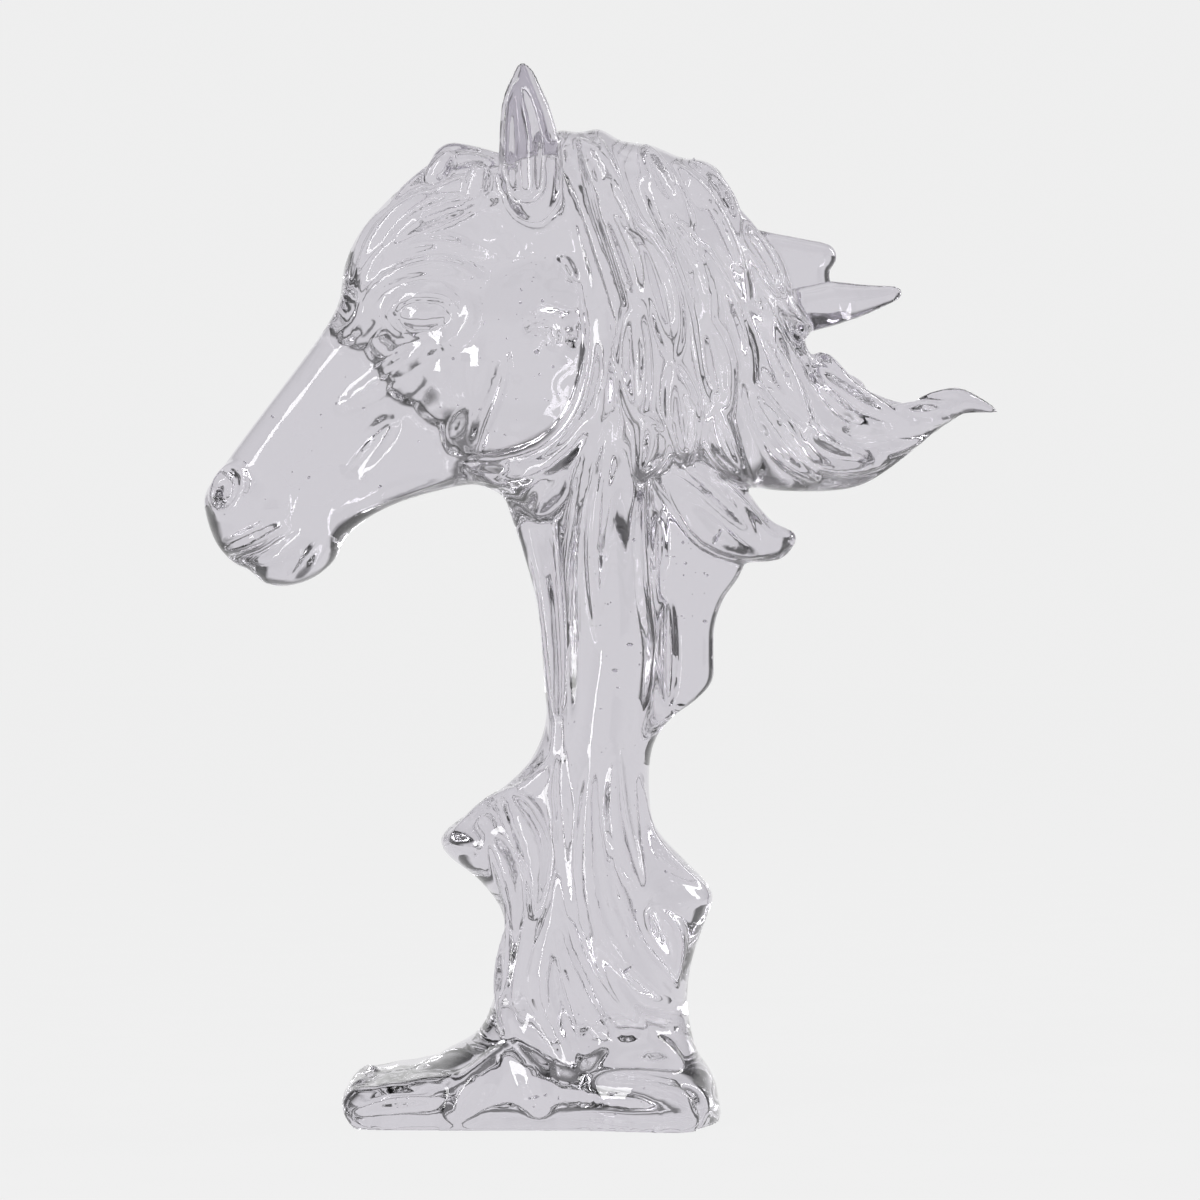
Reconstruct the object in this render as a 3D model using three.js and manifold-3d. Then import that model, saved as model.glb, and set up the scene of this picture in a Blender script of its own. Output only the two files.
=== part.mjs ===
// A wind-blown horse's head and mane, cast in one piece of clear resin on its own melted foot.
// The horse looks along -X, its mane blows towards +X, its left side faces -Y, and +Z is up.
// The origin is on the flat underside, below the neck. Lengths are in millimetres.
import * as THREE from "three";
import Module from "manifold-3d";

// Driving dimensions.
const HEIGHT = 300; // underside to ear tips
const HEAD_HALF = 17.5; // half thickness of the skull between the eyes
const CHEEK_HALF = 26; // half width over the jaw muscles
const NECK_HALF = 17; // half thickness of the round neck column
const NECK_RADIUS = 12; // the column's radius seen from the side
const WEB_HALF = 6.5; // half thickness of the webs in front of and behind the column
const MANE_HALF = 20; // half thickness of the mane over the neck
const FOOT_HALF = 42; // half depth of the foot
const FOOT_THICKNESS = 13; // the foot's toe, from the underside to its top
const EDGE_HALF = 4; // half thickness at which the carving reaches its full depth
const EAR_SPREAD = 11.5; // middle plane to the middle of an ear
const LOCK_RADIUS = 4; // a full lock of the mane
const CURL_GROOVE = 0.9; // radius of the fine grooves round the eye and the curls
const TRIANGLES = 9600; // how finely the casting is faceted
const CELL = HEIGHT / 190; // edge of one cell of the modelling clay

// The figure is drawn in thousandths of its height, as [x, z]. The underside is at z = SOLE.
const share = (thousandths) => (thousandths * HEIGHT) / 1000;
const SOLE = 6;

const OUTLINES = {
  head: [
    [28, 910], [-47, 901], [-114, 884], [-151, 851], [-172, 815], [-180, 779], [-202, 739],
    [-245, 681], [-288, 624], [-309, 592], [-299, 561], [-281, 532], [-267, 524], [-248, 510],
    [-218, 512], [-188, 533], [-171, 559], [-137, 582], [-85, 599], [-49, 604], [-19, 590],
    [9, 571], [57, 618], [78, 722], [66, 836],
  ],
  torso: [
    [28, 665], [-9, 618], [-21, 590], [-10, 552], [7, 490], [13, 419], [15, 380], [-2, 340],
    [-43, 304], [-84, 271], [-80, 256], [-47, 229], [-25, 196], [-28, 154], [-35, 116],
    [-49, 87], [-85, 59], [-95, -14], [175, -14], [168, 42], [155, 78], [149, 116],
    [154, 156], [166, 191], [173, 217], [147, 248], [128, 268], [114, 287], [107, 319],
    [110, 345], [119, 364], [135, 384], [158, 401], [173, 419], [174, 443], [175, 471],
    [184, 497], [201, 523], [206, 571], [180, 647],
  ],
  mane: [
    [14, 921], [24, 939], [47, 938], [66, 941], [87, 930], [114, 926], [144, 914], [165, 911],
    [182, 899], [190, 870], [206, 848], [232, 825], [246, 789], [253, 752], [263, 721],
    [296, 712], [315, 702], [326, 681], [338, 673], [356, 677], [371, 688], [403, 697],
    [430, 689], [458, 672], [429, 672], [407, 670], [383, 654], [360, 634], [319, 606],
    [292, 599], [215, 601],
    [161, 618], [104, 609], [57, 590], [33, 609], [59, 665], [66, 732], [43, 808], [24, 874],
  ],
  lowLock: [
    [114, 637], [161, 640], [201, 604], [228, 571], [253, 556], [240, 535], [218, 531],
    [197, 532], [161, 547], [131, 585], [114, 609],
  ],
  flatLock: [
    [190, 860], [214, 849], [262, 839], [288, 832], [292, 819], [285, 808], [286, 791],
    [262, 775], [228, 770], [190, 803],
  ],
  forelock: [
    [-19, 912], [-52, 925], [-78, 928], [-91, 918], [-99, 898], [-122, 884], [-142, 864],
    [-159, 844], [-171, 819], [-175, 789], [-169, 762], [-142, 789], [-104, 836], [-57, 865],
    [-14, 874],
  ],
};

// Guides that the hair follows, from the one nearest the face to the one nearest the crest.
const MANE_GUIDES = [
  [[36, 925], [54, 866], [76, 803], [88, 751], [90, 694], [84, 645], [78, 600]],
  [[56, 934], [82, 866], [108, 800], [122, 738], [126, 688], [128, 650], [128, 612]],
  [[80, 932], [112, 866], [142, 800], [159, 738], [167, 688], [180, 645], [198, 606]],
  [[107, 925], [140, 866], [170, 800], [190, 737], [208, 685], [236, 638], [272, 606]],
  [[132, 918], [166, 866], [196, 800], [219, 740], [250, 684], [296, 640], [352, 632]],
  [[160, 905], [190, 855], [217, 800], [245, 748], [284, 698], [344, 664], [424, 672]],
  [[178, 888], [204, 838], [229, 798], [253, 750], [290, 694], [336, 667], [380, 672], [436, 676]],
];
const LOW_LOCK_GUIDES = [
  [[112, 618], [134, 590], [165, 556], [204, 538], [240, 540]],
  [[126, 630], [160, 604], [192, 574], [222, 550], [250, 548]],
  [[150, 634], [184, 608], [212, 580], [232, 560], [252, 554]],
];
const FORELOCK_GUIDES = [
  [[2, 866], [-58, 856], [-108, 836], [-140, 804], [-160, 768]],
  [[-14, 890], [-66, 886], [-114, 862], [-146, 824], [-165, 780]],
  [[-24, 914], [-72, 915], [-117, 886], [-150, 846], [-171, 798]],
];
const DRAPERY_GUIDES = [
  [[-72, 278], [-46, 262], [-24, 222], [-20, 165], [-36, 100]],
  [[-34, 308], [-8, 262], [0, 208], [-8, 146], [-14, 80]],
  [[8, 340], [28, 266], [24, 200], [14, 136], [32, 62]],
  [[34, 362], [38, 268], [46, 200], [66, 146], [98, 108]],
  [[66, 368], [71, 280], [84, 212], [112, 164], [138, 122]],
  [[92, 360], [102, 290], [119, 236], [135, 192], [139, 140]],
];

// Long strands down the neck, the jaw's edge from the ear to the throat, the forelock's curls
// as [centre, radii, tilt], the strands of the mane's last flick, and the ear's stem as
// [x, z, how far it leans out, half width].
const NECK_STRANDS = [
  [[30, 905], [46, 850], [64, 790], [72, 730], [68, 676], [54, 625], [43, 560], [39, 480]],
  [[60, 660], [50, 600], [42, 540], [40, 470], [42, 410], [36, 357]],
  [[80, 690], [74, 640], [64, 580], [62, 520], [66, 450]],
  [[109, 637], [102, 571], [105, 495], [111, 443], [104, 381]],
  [[-2, 571], [15, 495], [24, 419], [26, 362], [14, 329]],
];
const JAW = [[44, 800], [57, 755], [54, 703], [38, 662], [11, 637], [-32, 625], [-84, 630]];
const CURLS = [[[-50, 881], [13, 22], -0.35], [[-84, 900], [10, 20], -0.7]];
const FLICK_STRANDS = [
  [[296, 694], [330, 680], [366, 684], [404, 690], [432, 682]],
  [[280, 662], [322, 654], [362, 662], [398, 678], [428, 680]],
  [[258, 640], [310, 632], [352, 642], [392, 662], [424, 674]],
];
const EAR_STEM = [
  [6, 858, 1, 12], [2, 874, 1, 24], [0, 898, 0.9, 28.5], [0, 921, 0.6, 28.5],
  [-3, 948, 0.35, 24.5], [-5, 970, 0.15, 18.5], [-5, 988, 0.05, 12], [-6, 999, 0, 7.5],
];

const FAR = 1e3;
const SIDES = [-1, 1];
const WIDEST = 1.2 * Math.max(FOOT_HALF, MANE_HALF, CHEEK_HALF, HEAD_HALF, NECK_HALF);
const clamp = THREE.MathUtils.clamp;
const lerp = THREE.MathUtils.lerp;

// Joins two distances with a fillet about as wide as blend.
function smoothMin(a, b, blend) {
  const near = Math.max(blend - Math.abs(a - b), 0) / blend;
  return Math.min(a, b) - (near * near * blend) / 4;
}

const smoothMax = (a, b, blend) => -smoothMin(-a, -b, blend);

// Reads a value between stations [[at, value], ...], with no change past their ends.
function between(stations, at) {
  if (at <= stations[0][0]) return stations[0][1];
  for (let i = 1; i < stations.length; i += 1) {
    const [end, value] = stations[i];
    if (at <= end) {
      const [start, before] = stations[i - 1];
      return lerp(before, value, THREE.MathUtils.smoothstep(at, start, end));
    }
  }
  return stations[stations.length - 1][1];
}

// A number from 0 to 1 that looks random and is the same on every run.
function scatter(a, b) {
  const wave = Math.sin(a * 12.9898 + b * 78.233) * 43758.5453;
  return wave - Math.floor(wave);
}

// The modelling clay: a grid of distances to the surface, below zero inside it.
class Clay {
  constructor(low, high, cell) {
    this.low = low;
    this.cell = cell;
    this.count = low.map((start, axis) => Math.ceil((high[axis] - start) / cell) + 1);
    this.strides = [this.count[1] * this.count[2], this.count[2], 1];
    this.values = new Float32Array(this.count[0] * this.count[1] * this.count[2]).fill(FAR);
  }

  at(axis, index) {
    return this.low[axis] + index * this.cell;
  }

  // Works a shape into every cell near it, as join(old, new) says. A shape gives its bounds
  // and, for each x and z that it comes near, its distance as a function of y.
  work({ bounds, column }, reach, join) {
    const first = [];
    const last = [];
    for (let axis = 0; axis < 3; axis += 1) {
      const top = this.count[axis] - 1;
      const start = (bounds[0][axis] - reach - this.low[axis]) / this.cell;
      const end = (bounds[1][axis] + reach - this.low[axis]) / this.cell;
      first[axis] = clamp(Math.floor(start), 0, top);
      last[axis] = clamp(Math.ceil(end), 0, top);
    }
    for (let i = first[0]; i <= last[0]; i += 1) {
      for (let k = first[2]; k <= last[2]; k += 1) {
        const distance = column(this.at(0, i), this.at(2, k), reach);
        if (!distance) continue;
        for (let j = first[1]; j <= last[1]; j += 1) {
          const cell = i * this.strides[0] + j * this.strides[1] + k;
          this.values[cell] = join(this.values[cell], distance(this.at(1, j)));
        }
      }
    }
  }

  add(shape, blend) {
    this.work(shape, blend + 3 * CELL, (old, found) => smoothMin(old, found, blend));
  }

  cut(shape, blend) {
    this.work(shape, blend + 3 * CELL, (old, found) => smoothMax(old, -found, blend));
  }

  // Rounds every crease a little by averaging each value with its neighbours.
  soften() {
    for (const stride of this.strides) {
      const old = this.values.slice();
      for (let cell = stride; cell < old.length - stride; cell += 1) {
        const sum = old[cell - stride] + 2 * old[cell] + old[cell + stride];
        if (Math.abs(old[cell]) < 3 * this.cell) this.values[cell] = sum / 4;
      }
    }
  }
}

// A closed outline through the drawn points, as a signed depth: above zero inside it.
function outlineDepth(points) {
  const curve = new THREE.CatmullRomCurve3(
    points.map(([x, z]) => new THREE.Vector3(share(x), 0, share(z))),
    true,
    "centripetal",
  );
  const ring = curve.getPoints(points.length * 4);
  const box = new THREE.Box3().setFromPoints(ring);
  const depth = (x, z) => {
    let nearest = Infinity;
    let inside = false;
    for (let i = 1; i < ring.length; i += 1) {
      const a = ring[i - 1];
      const b = ring[i];
      const ex = b.x - a.x;
      const ez = b.z - a.z;
      const along = clamp(((x - a.x) * ex + (z - a.z) * ez) / (ex * ex + ez * ez), 0, 1);
      const dx = x - a.x - along * ex;
      const dz = z - a.z - along * ez;
      nearest = Math.min(nearest, dx * dx + dz * dz);
      if (a.z > z !== b.z > z && x < a.x + (ex * (z - a.z)) / ez) inside = !inside;
    }
    return inside ? Math.sqrt(nearest) : -Math.sqrt(nearest);
  };
  return { box, depth };
}

// A slab of the given outline, half(x, z) thick to each side of the plane y = middle, whose
// faces roll over to the edge from as far in as roll(x, z).
function slab(points, { half, roll, power = 2, middle = 0 }) {
  const { box, depth } = outlineDepth(points);
  const column = (x, z, reach) => {
    const inward = depth(x, z);
    if (inward < -reach) return null;
    const thick = half(x, z);
    const edge = roll(x, z);
    const a = Math.max(edge - inward, 0) / edge;
    const aPower = Math.pow(a, power);
    return (y) => {
      const b = Math.abs(y - middle) / thick;
      const size = Math.pow(aPower + Math.pow(b, power), 1 / power);
      if (size < 0.05) return -Math.min(edge, thick);
      const slopeA = Math.pow(a / size, power - 1) / edge;
      const slopeB = Math.pow(b / size, power - 1) / thick;
      return (size - 1) / Math.sqrt(slopeA * slopeA + slopeB * slopeB);
    };
  };
  const bounds = [[box.min.x, -WIDEST, box.min.z], [box.max.x, WIDEST, box.max.z]];
  return { bounds, column };
}

// An ellipsoid, drawn on both sides of the middle plane when its centre is off it.
function lump([x0, z0], aside, [rx, ry, rz], tilt = 0) {
  const cx = share(x0);
  const cz = share(z0);
  const cos = Math.cos(tilt);
  const sin = Math.sin(tilt);
  const column = (x, z) => (y) => {
    const dx = (x - cx) * cos + (z - cz) * sin;
    const dz = (z - cz) * cos - (x - cx) * sin;
    const dy = Math.abs(y) - aside;
    const scaled = Math.hypot(dx / rx, dy / ry, dz / rz);
    const slope = Math.hypot(dx / (rx * rx), dy / (ry * ry), dz / (rz * rz));
    return slope > 0 ? (scaled * (scaled - 1)) / slope : -Math.min(rx, ry, rz);
  };
  const wide = Math.max(rx, rz);
  const far = aside + ry;
  return { bounds: [[cx - wide, -far, cz - wide], [cx + wide, far, cz + wide]], column };
}

// A round bar through points, with a radius at each; flat stretches its section along Y.
function bar(points, radii, { flat = 1, mirrored = false } = {}) {
  const widest = Math.max(...radii);
  const box = new THREE.Box3().setFromPoints(points);
  box.expandByScalar(widest * Math.max(flat, 1));
  const pieces = points.slice(1).map((b, i) => {
    const a = points[i];
    const [ex, ey, ez] = [b.x - a.x, (b.y - a.y) / flat, b.z - a.z];
    const long = Math.max(ex * ex + ey * ey + ez * ez, 1e-9);
    return { a, b, ex, ey, ez, long, radius: radii[i], growth: radii[i + 1] - radii[i] };
  });
  const column = (x, z, reach) => {
    const wide = reach + widest;
    const close = pieces.filter(({ a, b }) =>
      x > Math.min(a.x, b.x) - wide && x < Math.max(a.x, b.x) + wide
      && z > Math.min(a.z, b.z) - wide && z < Math.max(a.z, b.z) + wide);
    if (!close.length) return null;
    return (y) => {
      const side = mirrored ? Math.abs(y) : y;
      let nearest = FAR;
      for (const { a, ex, ey, ez, long, radius, growth } of close) {
        const px = x - a.x;
        const py = (side - a.y) / flat;
        const pz = z - a.z;
        const along = clamp((px * ex + py * ey + pz * ez) / long, 0, 1);
        const dx = px - along * ex;
        const dy = py - along * ey;
        const dz = pz - along * ez;
        const gap = Math.sqrt(dx * dx + dy * dy + dz * dz) - radius - along * growth;
        if (gap < nearest) nearest = gap;
      }
      return nearest;
    };
  };
  const { min, max } = box;
  const low = mirrored ? -max.y : min.y;
  return { bounds: [[min.x, low, min.z], [max.x, max.y, max.z]], column };
}

const curveThrough = (points) =>
  new THREE.CatmullRomCurve3(
    points.map(([x, z, y = 0]) => new THREE.Vector3(share(x), y, share(z))),
    false,
    "centripetal",
  );

// How far out of the middle plane the clay's surface stands on one side, at each x and z.
class Skin {
  constructor(clay, side) {
    this.clay = clay;
    this.side = side;
    const [nx, ny, nz] = clay.count;
    this.reach = new Float32Array(nx * nz);
    for (let i = 0; i < nx; i += 1) {
      for (let k = 0; k < nz; k += 1) this.reach[i * nz + k] = this.outermost(i, k, side, ny);
    }
  }

  outermost(i, k, side, ny) {
    const { clay } = this;
    const value = (j) => clay.values[i * clay.strides[0] + j * clay.strides[1] + k];
    let before = FAR;
    for (let step = 0; step < ny; step += 1) {
      const j = side > 0 ? ny - 1 - step : step;
      const now = value(j);
      const out = side * clay.at(1, j);
      if (out < 0) return 0;
      if (now < 0) return out + (clay.cell * -now) / (before - now);
      before = now;
    }
    return 0;
  }

  at(x, z) {
    const { clay } = this;
    const [nx, , nz] = clay.count;
    const u = clamp((x - clay.low[0]) / clay.cell, 0, nx - 1.001);
    const w = clamp((z - clay.low[2]) / clay.cell, 0, nz - 1.001);
    const i = Math.floor(u);
    const k = Math.floor(w);
    const lower = lerp(this.reach[i * nz + k], this.reach[(i + 1) * nz + k], u - i);
    const upper = lerp(this.reach[i * nz + k + 1], this.reach[(i + 1) * nz + k + 1], u - i);
    return lerp(lower, upper, w - k);
  }
}

// A bar laid along a curve on the skin of one side, sunk by a share of its radius, with
// pointed ends. It thins to nothing where the skin rolls over into the outline's edge.
function laid(curve, radius, skin, { sink = 0.25, steps = 12, blunt = 0.6 } = {}) {
  const points = [];
  const radii = [];
  for (let i = 0; i <= steps; i += 1) {
    const along = i / steps;
    const p = curve(along);
    const out = skin.at(p.x, p.z);
    const taper = Math.max(Math.pow(Math.sin(Math.PI * along), blunt), 0.1);
    const r = radius(along) * taper * THREE.MathUtils.smoothstep(out, 0.5, EDGE_HALF);
    points.push(new THREE.Vector3(p.x, skin.side * Math.max(out - sink * r, 0), p.z));
    radii.push(r);
  }
  return bar(points, radii);
}

// A point of the sheet stretched over the guides: across runs from the first guide to the last.
function onGuides(guides) {
  const curves = guides.map(curveThrough);
  return (across, along) => {
    const row = curves.map((curve) => curve.getPoint(along));
    return new THREE.CatmullRomCurve3(row).getPoint(across);
  };
}

// Rows of overlapping locks that follow the guides on both sides. The rows are staggered like
// scales, and each lock is as thick as its row is wide there, so that neighbours just meet.
function addLocks(clay, skins, guides, { rows, each, overlap, seed, ...form }) {
  const sheet = onGuides(guides);
  for (let row = 0; row < rows; row += 1) {
    const across = (row + 0.5) / rows;
    const stagger = row % 2 ? 0.5 : 0;
    for (let n = -1; n < each; n += 1) {
      const wobble = scatter(row + seed, n);
      const start = Math.max((n + stagger + 0.3 * wobble) / each, 0);
      const end = Math.min((n + stagger + overlap + 0.5 * wobble) / each, 1);
      if (end - start < 0.4 / each) continue;
      const sway = ((scatter(n + seed, row) - 0.5) * 0.8) / rows;
      const path = (s) => {
        const drift = clamp(across + sway * Math.sin(Math.PI * s), 0.01, 0.99);
        return sheet(drift, lerp(start, end, s));
      };
      const radius = (s) => {
        const along = lerp(start, end, s);
        const edge = sheet(across - 0.5 / rows, along);
        const width = edge.distanceTo(sheet(across + 0.5 / rows, along));
        return clamp(0.56 * width, 0.4 * LOCK_RADIUS, 1.3 * LOCK_RADIUS);
      };
      skins.forEach((skin) => clay.add(laid(path, radius, skin, form), share(1.5)));
    }
  }
}

function addRidge(clay, skins, points, radius, blend, sink = 0.25) {
  const curve = curveThrough(points);
  skins.forEach((skin) => {
    clay.add(laid((s) => curve.getPoint(s), () => radius, skin, { sink }), blend);
  });
}

function cutGroove(clay, skins, points, radius) {
  const curve = curveThrough(points);
  const form = { sink: 0, blunt: 0.4 };
  skins.forEach((skin) => {
    clay.cut(laid((s) => curve.getPoint(s), () => radius, skin, form), share(2));
  });
}

// A bar bent into an oval on the skin round a centre, sunk by a share of its radius.
function oval(skin, [x0, z0], [rx, rz], tilt, radius, sink) {
  const points = [];
  for (let i = 0; i <= 24; i += 1) {
    const turn = (Math.PI * 2 * i) / 24;
    const u = share(rx) * Math.cos(turn);
    const w = share(rz) * Math.sin(turn);
    const x = share(x0) + u * Math.cos(tilt) - w * Math.sin(tilt);
    const z = share(z0) + u * Math.sin(tilt) + w * Math.cos(tilt);
    points.push(new THREE.Vector3(x, skin.side * (skin.at(x, z) - sink * radius), z));
  }
  return bar(points, points.map(() => radius));
}

// An oval ridge on the skin, such as an eyelid or a nostril's rim.
function addRing(clay, skins, centre, radii, tilt, radius, blend) {
  skins.forEach((skin) => clay.add(oval(skin, centre, radii, tilt, radius, 0.3), blend));
}

function cutRing(clay, skins, centre, radii, tilt) {
  skins.forEach((skin) => {
    clay.cut(oval(skin, centre, radii, tilt, CURL_GROOVE, 0), share(1));
  });
}

// A hollow pressed into the skin: an ellipsoid whose middle lies on it.
function press(clay, skins, [x, z], radii, tilt, blend) {
  const aside = skins[0].at(share(x), share(z));
  clay.cut(lump([x, z], aside, radii, tilt), blend);
}

function addTorso(clay) {
  const halves = [
    [0, 0.8 * FOOT_HALF], [60, 0.68 * FOOT_HALF], [120, 0.58 * FOOT_HALF],
    [200, 0.52 * FOOT_HALF], [280, NECK_HALF], [340, 0.7 * NECK_HALF], [400, WEB_HALF],
    [560, WEB_HALF], [660, 0.6 * NECK_HALF],
  ].map(([z, half]) => [share(z), half]);
  const half = (x, z) => between(halves, z);
  const edges = [[300, 46], [360, 13], [580, 13], [640, 46]].map((pair) => pair.map(share));
  const roll = (x, z) => between(edges, z);
  clay.add(slab(OUTLINES.torso, { half, roll, power: 2.2 }), share(4));
  const line = curveThrough([
    [72, 690], [72, 590], [76, 523], [78, 457], [70, 391], [64, 324], [61, 258], [55, 182],
  ]).getPoints(20);
  const swell = [
    [share(180), 1.5], [share(300), 1.2], [share(420), 1], [share(600), 1], [share(690), 1.25],
  ];
  const radii = line.map((p) => NECK_RADIUS * between(swell, p.z));
  clay.add(bar(line, radii, { flat: NECK_HALF / NECK_RADIUS }), share(14));
}

// The foot: a low slab of rounded, slightly waisted plan that rises from the toe to the heel.
function addFoot(clay) {
  const plan = [
    [-177, 0], [-176, 0.45], [-170, 0.72], [-148, 0.83], [-75, 0.86], [-10, 0.84], [50, 0.86],
    [100, 0.97], [142, 1], [161, 0.86], [168, 0.55], [169, 0],
  ].map(([x, y]) => new THREE.Vector3(share(x), 0, y * FOOT_HALF));
  const ring = new THREE.CatmullRomCurve3(plan, false, "centripetal").getPoints(48);
  const edge = (x, y) => {
    let nearest = FAR;
    let inside = false;
    for (let i = 1; i < ring.length; i += 1) {
      const a = ring[i - 1];
      const b = ring[i];
      const ex = b.x - a.x;
      const ey = b.z - a.z;
      const along = clamp(((x - a.x) * ex + (y - a.z) * ey) / (ex * ex + ey * ey), 0, 1);
      const dx = x - a.x - along * ex;
      const dy = y - a.z - along * ey;
      nearest = Math.min(nearest, Math.sqrt(dx * dx + dy * dy));
      if (x >= a.x && x < b.x && y < a.z + (ey * (x - a.x)) / ex) inside = true;
    }
    return inside ? -nearest : nearest;
  };
  const heights = [
    [-178, 0.98], [-150, 1.04], [-122, 1.15], [-90, 1.26], [-20, 1.4], [90, 1.3], [172, 1],
  ];
  const top = heights.map(([x, height]) => [share(x), height * FOOT_THICKNESS]);
  const bottom = [[-178, 30], [-144, 1], [146, 1], [170, 20]].map((pair) => pair.map(share));
  const edges = new Map();
  const column = (x, z) => (y) => {
    const key = x * 1e4 + Math.abs(y);
    if (!edges.has(key)) edges.set(key, edge(x, Math.abs(y)));
    const sides = smoothMax(edges.get(key), z - between(top, x), share(22));
    return smoothMax(sides, between(bottom, x) - z, share(6));
  };
  const bounds = [
    [share(-178), -FOOT_HALF, 0],
    [share(172), FOOT_HALF, 1.5 * FOOT_THICKNESS],
  ];
  clay.add({ bounds, column }, share(28));
}

function addHead(clay) {
  const poll = new THREE.Vector2(share(10), share(846));
  const axis = new THREE.Vector2(share(-280), share(561)).sub(poll);
  const length = axis.length();
  axis.normalize();
  const widths = [
    [0, 1], [0.22, 1.18], [0.41, 1.12], [0.52, 0.76], [0.7, 0.7], [0.86, 0.8], [1, 0.74],
  ].map(([at, wide]) => [at, wide * HEAD_HALF]);
  const half = (x, z) => {
    const at = ((x - poll.x) * axis.x + (z - poll.y) * axis.y) / length;
    const aside = (x - poll.x) * axis.y - (z - poll.y) * axis.x;
    const waves = 0.012 * Math.sin(aside / share(13)) + 0.008 * Math.sin(aside / share(5.7) + 1);
    return between(widths, at + waves);
  };
  clay.add(slab(OUTLINES.head, { half, roll: () => share(34), power: 2.2 }), share(10));
  const cheek = CHEEK_HALF / 2;
  clay.add(lump([-8, 722], 0.7 * cheek, [share(84), 1.3 * cheek, share(80)]), share(26));
  const brow = [share(56), 0.8 * cheek, share(34)];
  clay.add(lump([-92, 780], 0.92 * cheek, brow, 0.1), share(18));
  clay.add(lump([-262, 578], 0, [share(38), 0.95 * HEAD_HALF, share(44)], -0.5), share(14));
  clay.add(lump([-220, 535], 0, [share(38), 0.62 * HEAD_HALF, share(22)], 0.35), share(6));
  const nose = curveThrough([[-140, 812], [-159, 760], [-196, 710], [-234, 660], [-266, 616]]);
  const bridge = nose.getPoints(12);
  clay.add(bar(bridge, bridge.map(() => share(20)), { flat: 1.75 }), share(8));
}

function addMane(clay) {
  const thin = [
    [share(20), MANE_HALF], [share(150), 1.08 * MANE_HALF], [share(240), 0.72 * MANE_HALF],
    [share(320), 0.44 * MANE_HALF], [share(380), 0.3 * MANE_HALF],
    [share(415), 0.25 * MANE_HALF], [share(450), 0.15 * MANE_HALF],
  ];
  const half = (x) => between(thin, x);
  clay.add(slab(OUTLINES.mane, { half, roll: () => share(46) }), share(8));
  const lowThin = [[share(110), 0.85 * MANE_HALF], [share(250), 0.3 * MANE_HALF]];
  const lowHalf = (x) => between(lowThin, x);
  clay.add(slab(OUTLINES.lowLock, { half: lowHalf, roll: () => share(26) }), share(5));
  const flatHalf = () => 0.24 * MANE_HALF;
  const middle = 0.35 * MANE_HALF;
  clay.add(slab(OUTLINES.flatLock, { half: flatHalf, roll: () => share(16), middle }), share(6));
  const aside = -0.5 * MANE_HALF;
  const spike = curveThrough([
    [210, 762, aside], [250, 766, aside], [284, 774, aside], [303, 776, aside],
    [322, 779, aside], [341, 783, aside], [347, 784, aside],
  ]).getPoints(12);
  const thickness = [
    [share(210), share(24)], [share(284), share(21)], [share(303), share(17)],
    [share(322), share(12.5)], [share(341), share(8)], [share(347), share(5)],
  ];
  clay.add(bar(spike, spike.map((p) => between(thickness, p.x))), share(5));
  const foreHalf = () => 0.62 * HEAD_HALF;
  clay.add(slab(OUTLINES.forelock, { half: foreHalf, roll: () => share(24) }), share(6));
}

// A leaf-shaped ear on each side, scooped out towards the front and outside.
function addEars(clay) {
  const stem = EAR_STEM.map(([x, z, out]) => [x, z, EAR_SPREAD + out * share(18)]);
  const line = curveThrough(stem).getPoints(21);
  const wide = curveThrough(EAR_STEM.map(([, z, , half]) => [half, z])).getPoints(21);
  const widths = wide.map((p) => p.x);
  clay.add(bar(line, widths, { flat: 0.55, mirrored: true }), share(3));
  const bowl = line.slice(4, 17).map((p) =>
    new THREE.Vector3(p.x - share(5), p.y + share(15), p.z + share(2)));
  const hollow = widths.slice(4, 17).map((half) => 0.55 * half);
  clay.cut(bar(bowl, hollow, { mirrored: true }), share(3));
}

function carveFace(clay, skins) {
  const eye = [-97, 760];
  const eyeOut = skins[0].at(share(eye[0]), share(eye[1]));
  addRing(clay, skins, eye, [31, 18], 0.05, share(6), share(4));
  clay.add(lump(eye, eyeOut - share(6), [share(26), share(13), share(14)], 0.05), share(1));
  cutRing(clay, skins, eye, [26, 13.5], 0.05);
  const brow = [[-158, 770], [-140, 789], [-112, 803], [-78, 808], [-42, 792]];
  addRidge(clay, skins, brow, share(9), share(4));
  addRidge(clay, skins, [[-150, 796], [-120, 820], [-84, 828], [-40, 818]], share(7), share(5));
  cutGroove(clay, skins, [[-146, 778], [-120, 790], [-88, 794], [-56, 784]], share(4));
  addRidge(clay, skins, [[-58, 778], [-54, 758], [-66, 740], [-92, 728]], share(9), share(5));
  addRidge(clay, skins, [[-84, 738], [-129, 709], [-176, 678]], share(10), share(8));
  const nostril = [-283, 599];
  addRing(clay, skins, nostril, [14, 22], -0.35, share(5), share(3));
  press(clay, skins, nostril, [share(11), share(14), share(18)], -0.35, share(3));
  const mouth = [[-292, 531], [-275, 533], [-254, 539], [-237, 550], [-214, 566]];
  cutGroove(clay, skins, mouth, share(7));
  cutGroove(clay, skins, [[-292, 545], [-262, 557], [-236, 572]], share(5));
  cutGroove(clay, skins, [[-20, 730], [-30, 689], [-44, 655], [-50, 632]], share(9));
  cutGroove(clay, skins, [[-196, 552], [-210, 530], [-222, 514]], share(5));
  press(clay, skins, [-150, 640], [share(34), share(8), share(12)], 0.85, share(8));
  cutGroove(clay, skins, JAW, share(9));
  const outside = JAW.map(([x, z], i) => (i < 4 ? [x + 16, z - 4] : [x + 6, z - 17]));
  addRidge(clay, skins, outside, share(8), share(4));
}

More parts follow.
